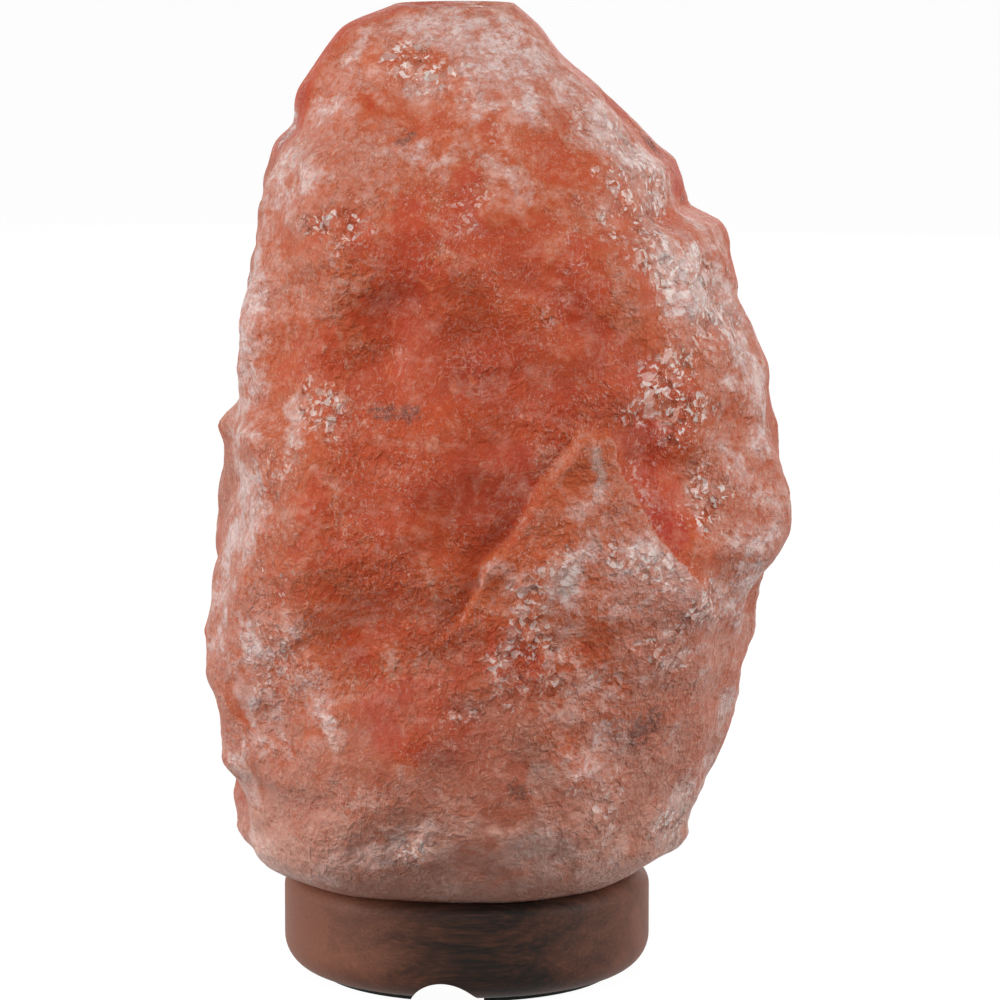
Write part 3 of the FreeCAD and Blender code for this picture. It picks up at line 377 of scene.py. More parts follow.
# Patches seen on the front, in mm across and up from the middle of the picture. Each is a run of places joined
# by straight lines, with its half width, the softness of its edge and its strength.
rockPatches = {
    "pale": [
        # cloud over the crown
        ([(-16, 128), (4, 124), (14, 112)], 9, 9, 0.9), ([(-24, 112), (-6, 108), (12, 104)], 7, 8, 0.7),
        ([(-2, 98), (6, 88), (8, 78)], 7, 7, 0.95), ([(-14, 92), (-8, 88), (2, 86)], 4, 5, 0.8),
        ([(-40, 104), (-32, 104)], 3.5, 5, 0.7), ([(14, 128), (22, 118), (32, 108)], 5, 6, 0.8),
        ([(-44, 84), (-50, 92), (-46, 104)], 4, 6, 0.8),
        # left edge
        ([(-59, 62), (-60, 48), (-58, 40)], 5, 5, 0.9), ([(-55, 70), (-52, 84)], 4, 6, 0.7),
        ([(-62, 30), (-64, 14), (-66, 4)], 6, 6, 0.9), ([(-60, 4), (-56, -8), (-62, -16)], 4.5, 4, 0.95),
        ([(-66, -16), (-67, -34), (-66, -44)], 3.5, 3, 0.8),
        ([(-59, -40), (-60, -54), (-58, -64)], 2.8, 2.5, 0.9), ([(-61, -68), (-59, -82), (-56, -90)], 2.4, 2.2, 0.95),
        ([(-52, -44), (-52, -60), (-54, -70)], 4, 5, 0.6),
        # right edge and shoulder
        ([(36, 100), (46, 90), (56, 80)], 6, 6, 0.85), ([(44, 94), (60, 76), (66, 66)], 4, 4, 0.8),
        ([(58, 62), (64, 56), (62, 50)], 5.5, 4, 0.95), ([(68, 60), (72, 44), (76, 30)], 4, 4, 0.8),
        ([(76, 34), (80, 22), (82, 12)], 4, 3.5, 0.85), ([(70, 14), (74, 2), (82, -6)], 3, 3, 0.7),
        ([(80, -12), (76, -26), (72, -34)], 4, 4, 0.8), ([(72, -20), (70, -32)], 2.4, 2.5, 0.6),
        ([(26, 68), (22, 58), (24, 52)], 2.4, 2, 0.7), ([(22, 46), (28, 44)], 3.2, 2.4, 0.8),
        # middle
        ([(-8, 72), (-5, 64)], 3, 1.6, 0.75), ([(-34, 56), (-28, 48), (-34, 40)], 3, 4, 0.5),
        ([(-36, 26), (-33, 22)], 2.2, 1.8, 0.8),
        ([(-9, 13), (-10, 4), (-8, 0)], 2.0, 1.8, 0.8), ([(-45, 22), (-46, 14)], 2.2, 2, 0.8),
        ([(-2, 4), (8, 8), (13, 6)], 2.2, 2.2, 0.6), ([(26, 22), (30, 20)], 3.4, 3, 0.75),
        ([(-36, 0), (-33, -6)], 2, 1.8, 0.8), ([(-26, -14), (-23, -18)], 3, 2.6, 0.6),
        ([(-12, -22), (-11, -32), (-18, -38), (-20, -46)], 3, 2.4, 0.85),
        ([(-48, -34), (-44, -39), (-50, -43)], 1.8, 1.6, 0.85),
        ([(-44, -54), (-40, -58), (-36, -66), (-34, -70)], 2.2, 2.2, 0.8), ([(-40, -54), (-34, -56)], 5, 5, 0.5),
        ([(-12, -46), (-9, -50)], 3, 2.6, 0.55), ([(-17, -78), (-15, -80)], 1.6, 1.4, 0.7),
        ([(-32, -88), (-22, -86)], 2.2, 2, 0.65), ([(-7, -102), (0, -98)], 5, 5, 0.5),
        # the gable's grey streak and pale crust
        ([(35, 10), (37, 3), (36, -8)], 1.8, 1.6, 0.8), ([(34, -10), (40, -13), (45, -19)], 5, 4, 0.7),
        ([(34, -16), (29, -24), (26, -31)], 3.6, 2.6, 1.0), ([(40, -24), (45, -30), (38, -34)], 6, 6, 0.45),
        ([(24, -38), (21, -45), (25, -52)], 6, 6, 0.75), ([(34, -50), (40, -56), (44, -66)], 8, 9, 0.6),
        ([(4, -25), (10, -21), (14, -26), (10, -30)], 3.2, 2.2, 0.85), ([(24, 6), (18, -4), (20, -12)], 4, 4, 0.35),
        ([(56, -38), (60, -42)], 3, 3, 0.5), ([(10, -52), (18, -58)], 5, 5, 0.4),
        ([(30, -76), (36, -78), (40, -72)], 5, 4, 0.7),
        # lower rim
        ([(-58, -98), (-56, -108), (-48, -116), (-40, -120)], 6.5, 4.5, 1.0),
        ([(-40, -104), (-32, -100), (-22, -98), (-12, -95)], 3.6, 3, 0.85), ([(-30, -110), (-22, -118)], 5, 6, 0.5),
        ([(-4, -112), (8, -113), (20, -112)], 5, 5, 0.6), ([(16, -96), (24, -100), (34, -106)], 7, 6, 0.85),
        ([(38, -110), (44, -104), (30, -114)], 5.5, 4, 0.85),
        ([(60, -86), (66, -94), (60, -102), (52, -108)], 6.5, 5, 0.95),
        ([(72, -58), (72, -70), (70, -80)], 4, 3.4, 0.85), ([(-10, -116), (6, -117), (26, -116)], 3, 3, 0.8),
        ([(54, -90), (62, -82), (70, -76)], 4, 4, 0.6),
    ],
    "ember": [
        ([(-24, 116), (-20, 112)], 5, 4, 0.9), ([(-26, 100), (-14, 102), (-4, 100)], 5, 4, 1.0),
        ([(-8, 112), (-4, 108)], 4, 3, 0.9), ([(-18, 68), (-14, 58), (-20, 44)], 9, 7, 0.9),
        ([(-44, 66), (-36, 70), (-28, 62)], 6, 6, 0.8), ([(-38, 40), (-44, 30)], 7, 7, 0.7),
        ([(6, 96), (22, 90), (32, 86)], 7, 7, 0.95), ([(2, 78), (14, 66), (26, 56)], 12, 8, 1.0),
        ([(-10, 36), (0, 34), (-20, 30)], 9, 7, 1.0), ([(-4, 46), (12, 40), (30, 34)], 12, 8, 1.0),
        ([(46, 60), (50, 52)], 4, 3, 0.9), ([(42, 78), (44, 72)], 3.4, 3, 0.8), ([(54, 72), (58, 68)], 3, 2.6, 0.9),
        ([(40, 36), (52, 30), (60, 20)], 8, 7, 0.8), ([(-34, -6), (-20, -8), (-6, -8)], 9, 8, 0.8),
        ([(-34, -36), (-30, -42)], 6, 4, 1.0), ([(-42, -26), (-32, -48), (-20, -34)], 8, 8, 0.8),
        ([(-14, -40), (-12, -38)], 3, 2, 1.0),
        ([(-30, -74), (-20, -70), (-26, -62)], 9, 8, 0.8), ([(-62, -52), (-63, -62)], 3, 2.4, 0.9),
        ([(50, 14), (54, 0), (56, -16)], 7, 3.5, 1.0), ([(64, -22), (62, -26)], 3.4, 2.6, 0.9),
        ([(-8, -2), (10, -6), (18, -14)], 7, 6, 0.9), ([(12, 8), (16, -4), (8, -16)], 6, 4, 0.9),
        ([(-56, -84), (-58, -74)], 3, 2.4, 0.7), ([(46, -86), (50, -88)], 6, 5, 0.5),
    ],
    "deep": [
        ([(-26, 103), (-22, 101)], 2.4, 2, 0.8), ([(10, 60), (24, 52), (34, 44)], 6, 6, 0.7),
        ([(0, 26), (16, 22), (28, 30)], 6, 6, 0.65),
        ([(2, -2), (15, -8), (8, -18)], 9, 7, 1.0), ([(14, 20), (24, 24), (34, 34)], 6, 6, 0.8),
        ([(48, 12), (50, 0), (54, -13)], 6.5, 3, 1.0),
        ([(-26, -46), (-16, -46)], 3.4, 3, 0.7), ([(-16, -60), (-2, -70), (6, -80)], 12, 10, 0.6),
        ([(16, -84), (4, -98), (12, -104)], 7, 6, 0.8), ([(46, -98), (44, -102)], 3.6, 2.4, 0.8),
        ([(-14, -84), (-16, -90)], 5, 5, 0.6), ([(62, 30), (60, 24)], 3, 3, 0.5),
        ([(20, -36), (22, -46)], 4, 4, 0.4), ([(-22, 20), (-14, 18)], 1.4, 1.4, 0.5),
    ],
    "brown": [
        ([(-40, -96), (0, -90), (40, -90)], 22, 22, 0.75), ([(-30, -62), (10, -64)], 12, 14, 0.3),
        ([(50, -60), (60, -70)], 10, 10, 0.35),
    ],
    # where painted glints gather in the colour; the salt there is also glossier, pitted and has tilted facets
    "glint": [
        ([(-40, 72), (-30, 70)], 3, 2, 1.0), ([(-58, 90), (-52, 98), (-48, 88)], 4, 5, 0.5),
        ([(42, 84), (52, 80), (60, 84)], 6, 5, 1.0), ([(44, 80), (52, 62), (62, 54), (68, 46)], 8, 7, 0.9),
        ([(32, 100), (48, 88)], 6, 6, 0.7), ([(54, 30), (58, 20)], 7, 5, 1.0), ([(48, 24), (54, 16)], 6, 5, 0.8),
        ([(66, -2), (68, -8)], 4, 3, 1.0), ([(45, 12), (46, 0), (50, -10)], 3.5, 2.5, 0.4),
        ([(60, 3), (62, -10)], 3, 2.4, 0.45), ([(60, 46), (70, 38)], 6, 6, 0.7), ([(-40, 24), (-36, 18)], 6, 4, 0.8),
        ([(-53, -22), (-50, -25)], 2.4, 1.6, 1.0), ([(-56, -24), (-54, -20)], 2, 1.6, 1.0),
        ([(-62, -4), (-56, 4), (-50, 8)], 6, 5, 0.5), ([(-50, -42), (-52, -50)], 6, 5, 0.5),
        ([(56, -26), (48, -22), (40, -20)], 4, 3, 0.8), ([(66, -30), (64, -34)], 4, 3, 1.0),
        ([(16, -36), (12, -46), (20, -48)], 5, 5, 0.7), ([(52, -46), (58, -50)], 5, 4, 0.7),
        ([(12, -56), (2, -60)], 5, 4, 0.6), ([(-30, 70), (-34, 62)], 5, 5, 0.5), ([(8, 84), (0, 76)], 6, 6, 0.5),
        ([(30, 64), (24, 44)], 4, 4, 0.4), ([(36, -84), (40, -92)], 5, 5, 0.6), ([(54, -90), (52, -94)], 3, 2.5, 0.9),
        ([(-17, -98), (-14, -99)], 2.4, 2, 0.9), ([(-16, 117), (-8, 113)], 6, 3.4, 1.0),
        ([(14, -30), (24, -22), (30, -18)], 3, 3, 0.7), ([(-4, 110), (6, 100)], 8, 8, 0.4),
    ],
    "stain": [
        ([(-18, 93), (-15, 94)], 1.5, 1.6, 0.9), ([(-25, 20), (-16, 19)], 2.0, 1.4, 0.85),
        ([(47, -69), (54, -61)], 1.6, 2.2, 0.9), ([(13, -83), (16, -84)], 1.8, 1.8, 0.9),
        ([(-22, -80), (-21, -81)], 2.0, 1.8, 0.5), ([(-42, -35), (-41, -37)], 0.9, 0.8, 0.6),
        ([(0, -61), (1, -62)], 1.2, 1.2, 0.5), ([(21, -80), (22, -81)], 1.2, 1.2, 0.6),
    ],
    "grey": [
        ([(-24, 21), (-16, 20)], 1.8, 1.4, 0.5), ([(35, 9), (37, 2)], 1.4, 1.2, 0.8),
        ([(34, -17), (36, -15)], 2.2, 2, 0.8), ([(29, -25), (27, -30)], 2.2, 2, 0.8),
        ([(36, -54), (37, -55)], 2, 2, 0.6), ([(-23, -15), (-25, -19)], 2, 2, 0.7),
        ([(18, -80), (24, -78)], 4, 4, 0.6), ([(-50, -112), (-46, -116)], 4, 4, 0.6),
        ([(66, -90), (62, -88)], 4, 4, 0.6),
    ],
}

# How strongly noise alone marks the sides and the back: size of the marks in mm, seed, threshold, softness
rockScatter = {
    "pale": (26.0, 41, 0.20, 0.60), "ember": (36.0, 53, 0.16, 0.60), "deep": (24.0, 67, 0.34, 0.50),
    "brown": (60.0, 79, 0.35, 0.60), "glint": (15.0, 83, 0.50, 0.50), "stain": (15.0, 97, 0.86, 0.14),
    "grey": (18.0, 101, 0.95, 0.30),
}

# how far noise tears a placed patch's edge and how much softer it makes it, and how far and how coarsely it
# bends the marks at the sides and the back, all in mm
rockTear = {"size": 7.0, "strength": 0.9, "reach": 2.2, "soft": 2.5, "warp": 9.0, "warpSize": 22.0}


def rockWaves(points):
    # sum of sines: directions turn by the golden angle, lengths shrink step by step
    total = np.zeros(len(points))
    length = rock["wavesLongest"]
    for number in range(rock["waves"]):
        level = 1 - 2 * (number + 0.5) / rock["waves"]
        flat = math.sqrt(1 - level * level)
        turn = number * math.pi * (3 - math.sqrt(5))
        push = np.array([flat * math.cos(turn), flat * math.sin(turn), level])
        phase = 2 * math.pi / length * (points @ push) + rock["wavesPhase"] * number
        total += length * rock["wavesHeight"] * np.sin(phase)
        length *= rock["wavesShrink"]
    return total


def rockSkin(angle, share):
    # radius = rounded-square section of four reaches, plus waves, scoops and the gable's step, as in the solids.
    # It also gives how much relief each place may have, and how far it lies under the flake's edge, in mm
    shares = [row[0] for row in rockRows]
    left, right, front, back = [steadyCurve(shares, [row[side] for row in rockRows])(share)
                                for side in range(1, 5)]
    cosine, sine = np.cos(angle), np.sin(angle)
    across = cosine / np.where(cosine > 0, right * rock["right"], left * rock["left"])
    deep = sine / np.where(sine > 0, back * rock["back"], front * rock["front"])
    radius = (np.abs(across) ** rock["power"] + np.abs(deep) ** rock["power"]) ** (-1 / rock["power"])
    x, y, level = radius * cosine, radius * sine, share * rock["height"]
    relief = rockWaves(np.stack([x, y, level], axis=1))
    degrees = np.degrees(angle)
    for centre, centreShare, halfWidth, halfHeight, lean, most in rockScoops:
        away = (degrees - centre + 180) % 360 - 180
        side, up, turn = np.radians(away) * radius, (share - centreShare) * rock["height"], math.radians(lean)
        along = (side * math.cos(turn) + up * math.sin(turn)) / halfWidth
        over = (up * math.cos(turn) - side * math.sin(turn)) / halfHeight
        relief += most * ease(rock["scoopRim"] * (1 - np.hypot(along, over)))
    side = x - rock["peakX"]
    slope = np.where(side > 0, rock["slopeRight"], rock["slopeLeft"])
    torn = rock["tornEdge"] * cloud(np.stack([x, y, level], axis=1), rock["tornSize"], 23, 4)
    fall = slope * np.maximum(np.abs(side) - rock["peakFlat"], 0)
    under = (rock["peakShare"] - share) * rock["height"] - fall + torn
    fade = 1 - ease((under - rock["fadeStart"]) / rock["fadeLength"])
    fade *= ease((share - rock["footShare"]) / rock["footFade"])
    relief += rock["step"] * ease(under / rock["edgeWidth"]) * fade * ease(-y / rock["front"] / rock["frontShare"])
    footCalm = rock["footLeast"] + (1 - rock["footLeast"]) * ease(share / rock["footCalm"])
    calm = ease((1 - share) / rock["crownCalm"]) * footCalm
    return radius + relief * calm, calm, under


def onPicture(points):
    # where a point shows in the picture: mm across and up on the plane through the lamp's middle
    tip = math.radians(studio["eyeHeightAngle"])
    look = np.array([0, math.cos(tip), -math.sin(tip)])
    rise = np.array([0, math.sin(tip), math.cos(tip)])
    local = points - np.array([0, 0, studio["pictureMiddle"]])
    far = studio["eyeDistance"] + local @ look
    scale = studio["eyeDistance"] / far
    return local[:, 0] * scale, (local @ rise) * scale


def patchMark(name, across, up, points, bent, faceFront):
    # each patch: soft edge round its joined lines, torn by noise; the sides and back take noise alone
    size, seed, start, soft = rockScatter[name]
    torn = cloud(points, rockTear["size"], seed + 5, 3) * rockTear["strength"]
    front = np.zeros(len(points))
    for run, wide, edge, strength in rockPatches[name]:
        nearest = np.full(len(points), 1e9)
        for (x0, y0), (x1, y1) in zip(run, run[1:]):
            dx, dy = x1 - x0, y1 - y0
            along = np.clip(((across - x0) * dx + (up - y0) * dy) / (dx * dx + dy * dy), 0, 1)
            nearest = np.minimum(nearest, np.hypot(across - x0 - along * dx, up - y0 - along * dy))
        border = edge + rockTear["soft"]
        reach = wide + border / 2 + torn * (edge + rockTear["reach"])
        front = np.maximum(front, strength * ease((reach - nearest) / border))
    around = ease((cloud(bent, size, seed, 4) - start) / soft + 0.5)
    return front * faceFront + around * (1 - faceFront)


def rockMarks(flat, shares, under):
    # marks between 0 and 1 for every corner: the placed patches, the haze round the clear core, the pale foot
    # and the flake
    across, up = onPicture(flat)
    faceFront = ease((-flat[:, 1] - rock["markedFrom"]) / rock["markedWidth"])
    bend = np.stack([cloud(flat, rockTear["warpSize"], seed, 2) for seed in (5, 6, 7)], axis=1)
    bent = flat + rockTear["warp"] * bend
    marks = {name: patchMark(name, across, up, flat, bent, faceFront) for name in rockPatches}
    middle, height, wide, tall = rock["core"]
    torn, size, seed = rock["hazeTorn"]
    away = np.hypot((across - middle) / wide, (up - height) / tall) + torn * cloud(flat, size, seed, 3)
    around = 0.5 + 0.5 * cloud(flat, *rock["hazeAround"], 3)
    marks["haze"] = ease((away - rock["hazeStart"]) / rock["hazeWidth"]) * faceFront + around * (1 - faceFront)
    torn, size, seed = rock["footTorn"]
    marks["foot"] = ease((rock["footTop"] - shares) / rock["footTop"] + torn * cloud(flat, size, seed, 3))
    end, fade = rock["gableFoot"]
    marks["gable"] = (ease((under + rock["gableEdge"]) / rock["gableEdge"]) * ease(-flat[:, 1] / rock["gableFront"])
                      * (1 - ease((under - rock["gableReach"]) / rock["gableFade"])) * ease((shares - end) / fade))
    return marks


def brokenRelief(flat, marks):
    # broken faces of four sizes, the fine ones fainter where the salt is clear, a rough crust and pitted glints
    polished = np.clip(np.maximum(marks["ember"], marks["deep"]) - marks["glint"] - marks["gable"], 0, 1)
    rough = 1 - (1 - rock["smoothShare"]) * polished
    relief = np.zeros(len(flat))
    for number, (size, height, seed) in enumerate(rock["faces"]):
        relief += height * brokenFaces(flat, size, seed) * (rough if number else 0.5 + 0.5 * rough)
    height, size, seed = rock["crust"]
    relief += height * marks["pale"] * cloud(flat, size, seed, 2)
    height, size, seed = rock["pitted"]
    return relief - height * marks["glint"] * np.abs(cloud(flat, size, seed, 2))


def makeCrystal():
    # a grid of directions and heights: the skin of the solids plus broken faces, drawn in over the crown by rings,
    # and closed by a flat underside, the well's wall and its cone
    columns, crown = rock["columns"], rock["crownRows"]
    turn = np.arange(columns) * 2 * math.pi / columns
    angle = np.radians(270) + turn - rock["frontCrowding"] * np.sin(turn)
    row = np.linspace(0, 1, rock["rows"])
    crowded = rock["endCrowding"] * (0.5 - 0.5 * np.cos(math.pi * row)) + (1 - rock["endCrowding"]) * row
    angles, shares = [grid.reshape(-1) for grid in np.meshgrid(angle, np.concatenate([crowded, np.ones(crown)]))]
    inward = np.repeat(np.concatenate([np.zeros(rock["rows"]), np.arange(1, crown + 1) / (crown + 1)]), columns)
    rows = rock["rows"] + crown
    radius, calm, under = rockSkin(angles, shares)
    radius = radius * (1 - inward)
    calm = np.maximum(calm, ease((1 - shares) / rock["crownFade"]) * ease(shares / rock["footCalm"]))
    level = rock["bottom"] + shares * rock["height"]
    flat = np.stack([radius * np.cos(angles), radius * np.sin(angles), level], axis=1)
    marks = rockMarks(flat, shares, under)
    relief = brokenRelief(flat, marks)
    radius = radius + relief * calm
    level = level + (relief - rock["crownSink"]) * ease(inward / rock["crownRim"])
    skin = np.stack([radius * np.cos(angles), radius * np.sin(angles), level], axis=1)

    well, wellTop = rock["wellRadius"], rock["bottom"] + rock["wellDepth"]
    coneTop = wellTop + rock["coneHeight"]
    ring = np.stack([np.cos(angle), np.sin(angle)], axis=1)
    inside = [np.column_stack([ring * reach, np.full(columns, height)]) for reach, height in (
        (well + rock["footBand"], rock["bottom"]), (well, rock["bottom"]), (well, wellTop),
        (well * rock["coneShare"], coneTop))]
    corners = np.concatenate([skin, skin[-columns:].mean(axis=0)[None]] + inside + [np.array([[0, 0, coneTop]])])
    around = np.arange(columns)
    after = np.roll(around, -1)
    start = rows * columns + 1
    faces = [gridFaces(rows, columns), capFaces(around + (rows - 1) * columns, rows * columns),
             np.stack([around, after, start + after, start + around], axis=-1)[:, ::-1]]
    faces += [gridFaces(2, columns, start + step * columns, flip=True) for step in range(3)]
    faces.append(capFaces(start + 3 * columns + around, len(corners) - 1, flip=True))
    piece = makePiece("rockSaltCrystal", corners, faces)
    inner = np.full(len(corners) - len(skin), 0.3)   # the underside and the well take a faint share of every mark
    for name, values in marks.items():
        layer = piece.data.attributes.new(name, "FLOAT", "POINT")
        layer.data.foreach_set("value", np.concatenate([values, inner]).astype(np.float32))
    piece.data.materials.append(rockSalt())
    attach(piece, "lamp_body")
    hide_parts("salt_crystal")
    return piece


rockColours = {
    # from the clear red windows to the milky crust
    "milk": [(0.00, srgb(148, 32, 11)), (0.18, srgb(166, 43, 14)), (0.34, srgb(176, 59, 22)),
             (0.50, srgb(184, 86, 48)), (0.66, srgb(196, 124, 103)), (0.82, srgb(208, 158, 147)),
             (1.00, srgb(230, 208, 204))],
    "orange": srgb(196, 90, 38), "brown": srgb(150, 80, 56), "foot": srgb(232, 180, 162), "fibre": srgb(222, 126, 82),
    # painted highlights: the stroke and spark colours are pale glints painted into the salt's colour
    "stroke": srgb(240, 186, 166), "spark": srgb(255, 246, 240),
    "grey": srgb(188, 172, 162), "stain": srgb(92, 52, 44),
}

# The salt's textures: scale in waves a millimetre, detail, roughness, distortion
saltClouds = {
    "broad": (0.035, 3.0, 0.60, 0.6), "middle": (0.13, 5.0, 0.64, 0.8), "wisp": (0.16, 5.0, 0.66, 1.4),
    "fine": (0.62, 4.0, 0.68, 0.5), "grain": (2.1, 2.0, 0.60, 0.0), "fibre": (0.95, 3.0, 0.66, 1.2),
    "gather": (0.085, 3.0, 0.60, 0.5),
}
# cells of two sizes, each in cells a millimetre, and the two families of painted glint strokes: scale and lean in
# degrees
saltCells = {"tone": 0.42, "chip": 0.95, "bendScale": 0.3, "bendReach": 3.0}
saltStrokes = {"families": [(0.62, 26), (1.05, -18)], "width": (0.008, 0.060), "cut": (0.50, 0.58), "second": 0.9}
saltFibres = {"turn": 34, "bendScale": 0.055, "bendReach": 30.0, "stretch": (0.34, 0.34, 1.0), "rise": (0.53, 0.66)}
# How much each part adds to the milky scale, in places that are clear and, on top, in places that are crusted
saltMilk = {
    "start": 0.29, "pale": 0.33, "haze": 0.34, "ember": -0.17, "deep": -0.20, "gable": 0.21, "broad": 0.14,
    "wisp": (0.12, 0.10), "middle": (0.10, 0.25), "fine": (0.05, 0.36), "grain": (0.0, 0.20),
    "tone": (0.0, 0.07), "chip": (0.0, 0.12),
}


def rockSalt():
    # translucent salt: one scale of milkiness from clear red to white crust, moved by the placed marks and by
    # noise of several sizes, then a brown foot, fibres, stains, and painted glints: pale curved strokes, sparks and
    # small bright facets
    surface = Surface("rockSalt")
    colours, strokes = rockColours, saltStrokes
    here = surface.place()
    broad, middle, fine, grain = [surface.noise(here, *saltClouds[name]) - 0.5
                                  for name in ("broad", "middle", "fine", "grain")]
    wisp = surface.noise(surface.place((0.35, 0.35, 1.0), (0, 24, 0)), *saltClouds["wisp"]) - 0.5
    bent = surface.warped(here, here, saltCells["bendScale"], saltCells["bendReach"])
    tone, chip = [surface.cells(bent, saltCells[name], "Color") for name in ("tone", "chip")]
    ragged = middle * 0.9 + wisp * 0.7 + fine * 0.5
    pale = (surface.mark("pale") + ragged * 1.5).over(0.15, 1.30)
    gable, haze, glint = [surface.mark(name) for name in ("gable", "haze", "glint")]
    ember = (surface.mark("ember") + middle * 0.7).over(0.10, 0.95) * (1.0 - gable * 0.8)
    deep = (surface.mark("deep") + middle * 0.8 + wisp * 0.4).over(0.15, 1.0) * (1.0 - gable * 0.8)
    calm = 1.0 - (ember * 0.8).larger(deep * 0.7)   # 1 on crusted salt, low where it is clear

    milk = saltMilk["start"]
    for name, value in (("pale", pale), ("haze", haze), ("ember", ember), ("deep", deep), ("gable", gable),
                        ("broad", broad)):
        milk = milk + value * saltMilk[name]
    for name, value in (("wisp", wisp), ("middle", middle), ("fine", fine), ("grain", grain),
                        ("tone", surface.single(tone) - 0.5), ("chip", surface.single(chip) - 0.5)):
        always, crusted = saltMilk[name]
        milk = milk + value * (always + calm * crusted)
    colour = surface.node("ShaderNodeValToRGB", {"stops": colours["milk"]}, {0: milk.held()})
    warm = (broad * 1.4 + 0.7 + middle * 0.8 - haze * 0.7).held() * (1.0 - pale * 0.8)
    brown = (surface.mark("brown") + middle * 0.6).held()
    foot = (surface.mark("foot") * 0.85 + ragged * 1.7).held()
    flow = surface.warped(surface.place((1, 1, 1), (0, saltFibres["turn"], 0)), here, saltFibres["bendScale"],
                          saltFibres["bendReach"])
    flow = surface.vector("MULTIPLY", flow, saltFibres["stretch"])
    fibre = surface.noise(flow, *saltClouds["fibre"]).over(*saltFibres["rise"])
    grey = (surface.mark("grey") + ragged * 0.8).over(0.3, 1.0)
    stain = (surface.mark("stain") * 0.85 + grain * 1.6 + fine * 2.6).over(0.30, 0.85)
    for share, name in ((warm * 0.5, "orange"), (brown * 0.62 * (1.0 - pale), "brown"),
                        (brown * 0.55 * (0.25 + pale * 0.75), "foot"), (foot * 0.62, "foot"),
                        (fibre * (0.44 - calm * 0.32), "fibre"), (grey * 0.6, "grey"), (stain * 0.7, "stain")):
        colour = surface.mix(share, colour, colours[name])

    # painted glints: pale strokes painted into the colour along contour lines of a noise, cut short by a second one
    # and gathered where a third is high; they also lower the roughness and add a little bump
    glintLines = []
    for scale, lean in strokes["families"]:
        curl = surface.noise(surface.place((1.0, 1.0, 0.45), (0, lean, 0)), scale, 1.5, 0.5, 0.7) - 0.5
        cut = surface.noise(surface.place(shift=(40, 0, 0)), scale * 1.3, 1.0, 0.5)
        glintLines.append((1.0 - curl.unsigned().over(*strokes["width"])) * cut.over(*strokes["cut"]))
    gather = surface.noise(here, *saltClouds["gather"]).over(0.36, 0.58)
    where = (glint * 0.55 + gather * (0.48 + calm * 0.27)).held()
    glintLines = ((glintLines[0] + glintLines[1] * strokes["second"]) * where).held()
    # painted highlights: small cells and larger facets painted near-white where glints gather, then every painted
    # glint mixed into the colour
    spark = (surface.single(chip).over(0.83, 0.87) * (glint * 1.25 - 0.25 + grain)).held()
    glintFacet = (surface.single(tone).over(0.84, 0.87) * (glint * 1.6 - 0.6 + fine)).held()
    for share, name in ((glintLines * (0.48 + glint * 0.22), "stroke"), (spark * 0.65, "spark"), (glintFacet * 0.30, "spark")):
        colour = surface.mix(share, colour, colours[name])

    roughness = (0.50 + fine * 0.2 - glint * 0.26 - glintLines * 0.15).held()
    rough = 0.2 + calm * 0.8
    bowls = surface.cells(bent, saltCells["tone"]) * 0.6 + surface.cells(bent, saltCells["chip"]) * 0.3
    normal = surface.bump(middle, 0.7, 0.5)
    normal = surface.bump(bowls * rough, 1.5, 0.75, normal)
    normal = surface.bump(fine * rough + grain * calm * 0.35 + glintLines * 0.4 + fibre * 0.2, 0.7, 0.75, normal)
    tilt = surface.vector("SCALE", surface.vector("SUBTRACT", tone, (0.5, 0.5, 0.5)), glint * 0.8 + calm * 0.12)
    tilted = surface.vector("NORMALIZE", surface.vector("ADD", normal, tilt))
    return surface.finish(colour=colour, roughness=roughness, normal=tilted, gloss=0.26,
                          inside=0.12, insideReach=(1.0, 0.35, 0.2), insideScale=0.003)


crystal = makeCrystal()
print("stage: crystal,", len(crystal.data.vertices), "corners")


# The stain: colours, how far the grain is turned from X in degrees, and where across the base the painted light on
# both sides starts
stain = {
    "dark": srgb(25, 20, 17), "paintedSideLight": srgb(132, 84, 66), "streak": srgb(150, 96, 74), "pore": srgb(34, 26, 24),
    "fleck": srgb(128, 100, 88), "turn": 8, "sideLightReach": 50.0, "sideLightShift": -0.16,
}


def stainedWood():
    # dark stain over fine straight grain: long thin streaks along X, small pores, and painted light: paler towards
    # both sides, where the side lamps fall
    surface = Surface("stainedWood")
    turn = (0, 0, stain["turn"])
    streak = surface.noise(surface.place((0.05, 1.0, 1.0), turn), 1.3, 5.0, 0.65, 0.3)
    broad = surface.noise(surface.place((0.25, 1.0, 1.0), turn), 0.09, 4.0, 0.6, 1.2)
    pore = surface.noise(surface.place((0.22, 1.6, 1.6), turn), 2.2, 2.0, 0.5).over(0.60, 0.72)
    fleck = surface.noise(surface.place(), 1.6, 4.0, 0.7)
    # painted light: the stain turns paler towards both sides, as where the side lamps light it, and its streaks show
    # more there
    across = surface.place((1 / stain["sideLightReach"],) * 3, shift=(stain["sideLightShift"], 0, 0))
    side = surface.node("ShaderNodeSeparateXYZ", {}, {0: across})
    paintedSideLight = (side * side * 1.1 + broad - 0.45).held()
    colour = surface.mix(paintedSideLight, stain["dark"], stain["paintedSideLight"])
    for share, name in ((streak.over(0.40, 0.75) * (0.15 + paintedSideLight * 0.4), "streak"), (pore * 0.6, "pore"),
                        (fleck.over(0.62, 0.8) * 0.25, "fleck")):
        colour = surface.mix(share, colour, stain[name])
    normal = surface.bump(fleck, 0.05, 0.5, surface.bump(streak - pore * 0.8, 0.10, 0.6))
    return surface.finish(colour=colour, roughness=0.46 + streak * 0.16 + pore * 0.15, normal=normal, gloss=0.16)


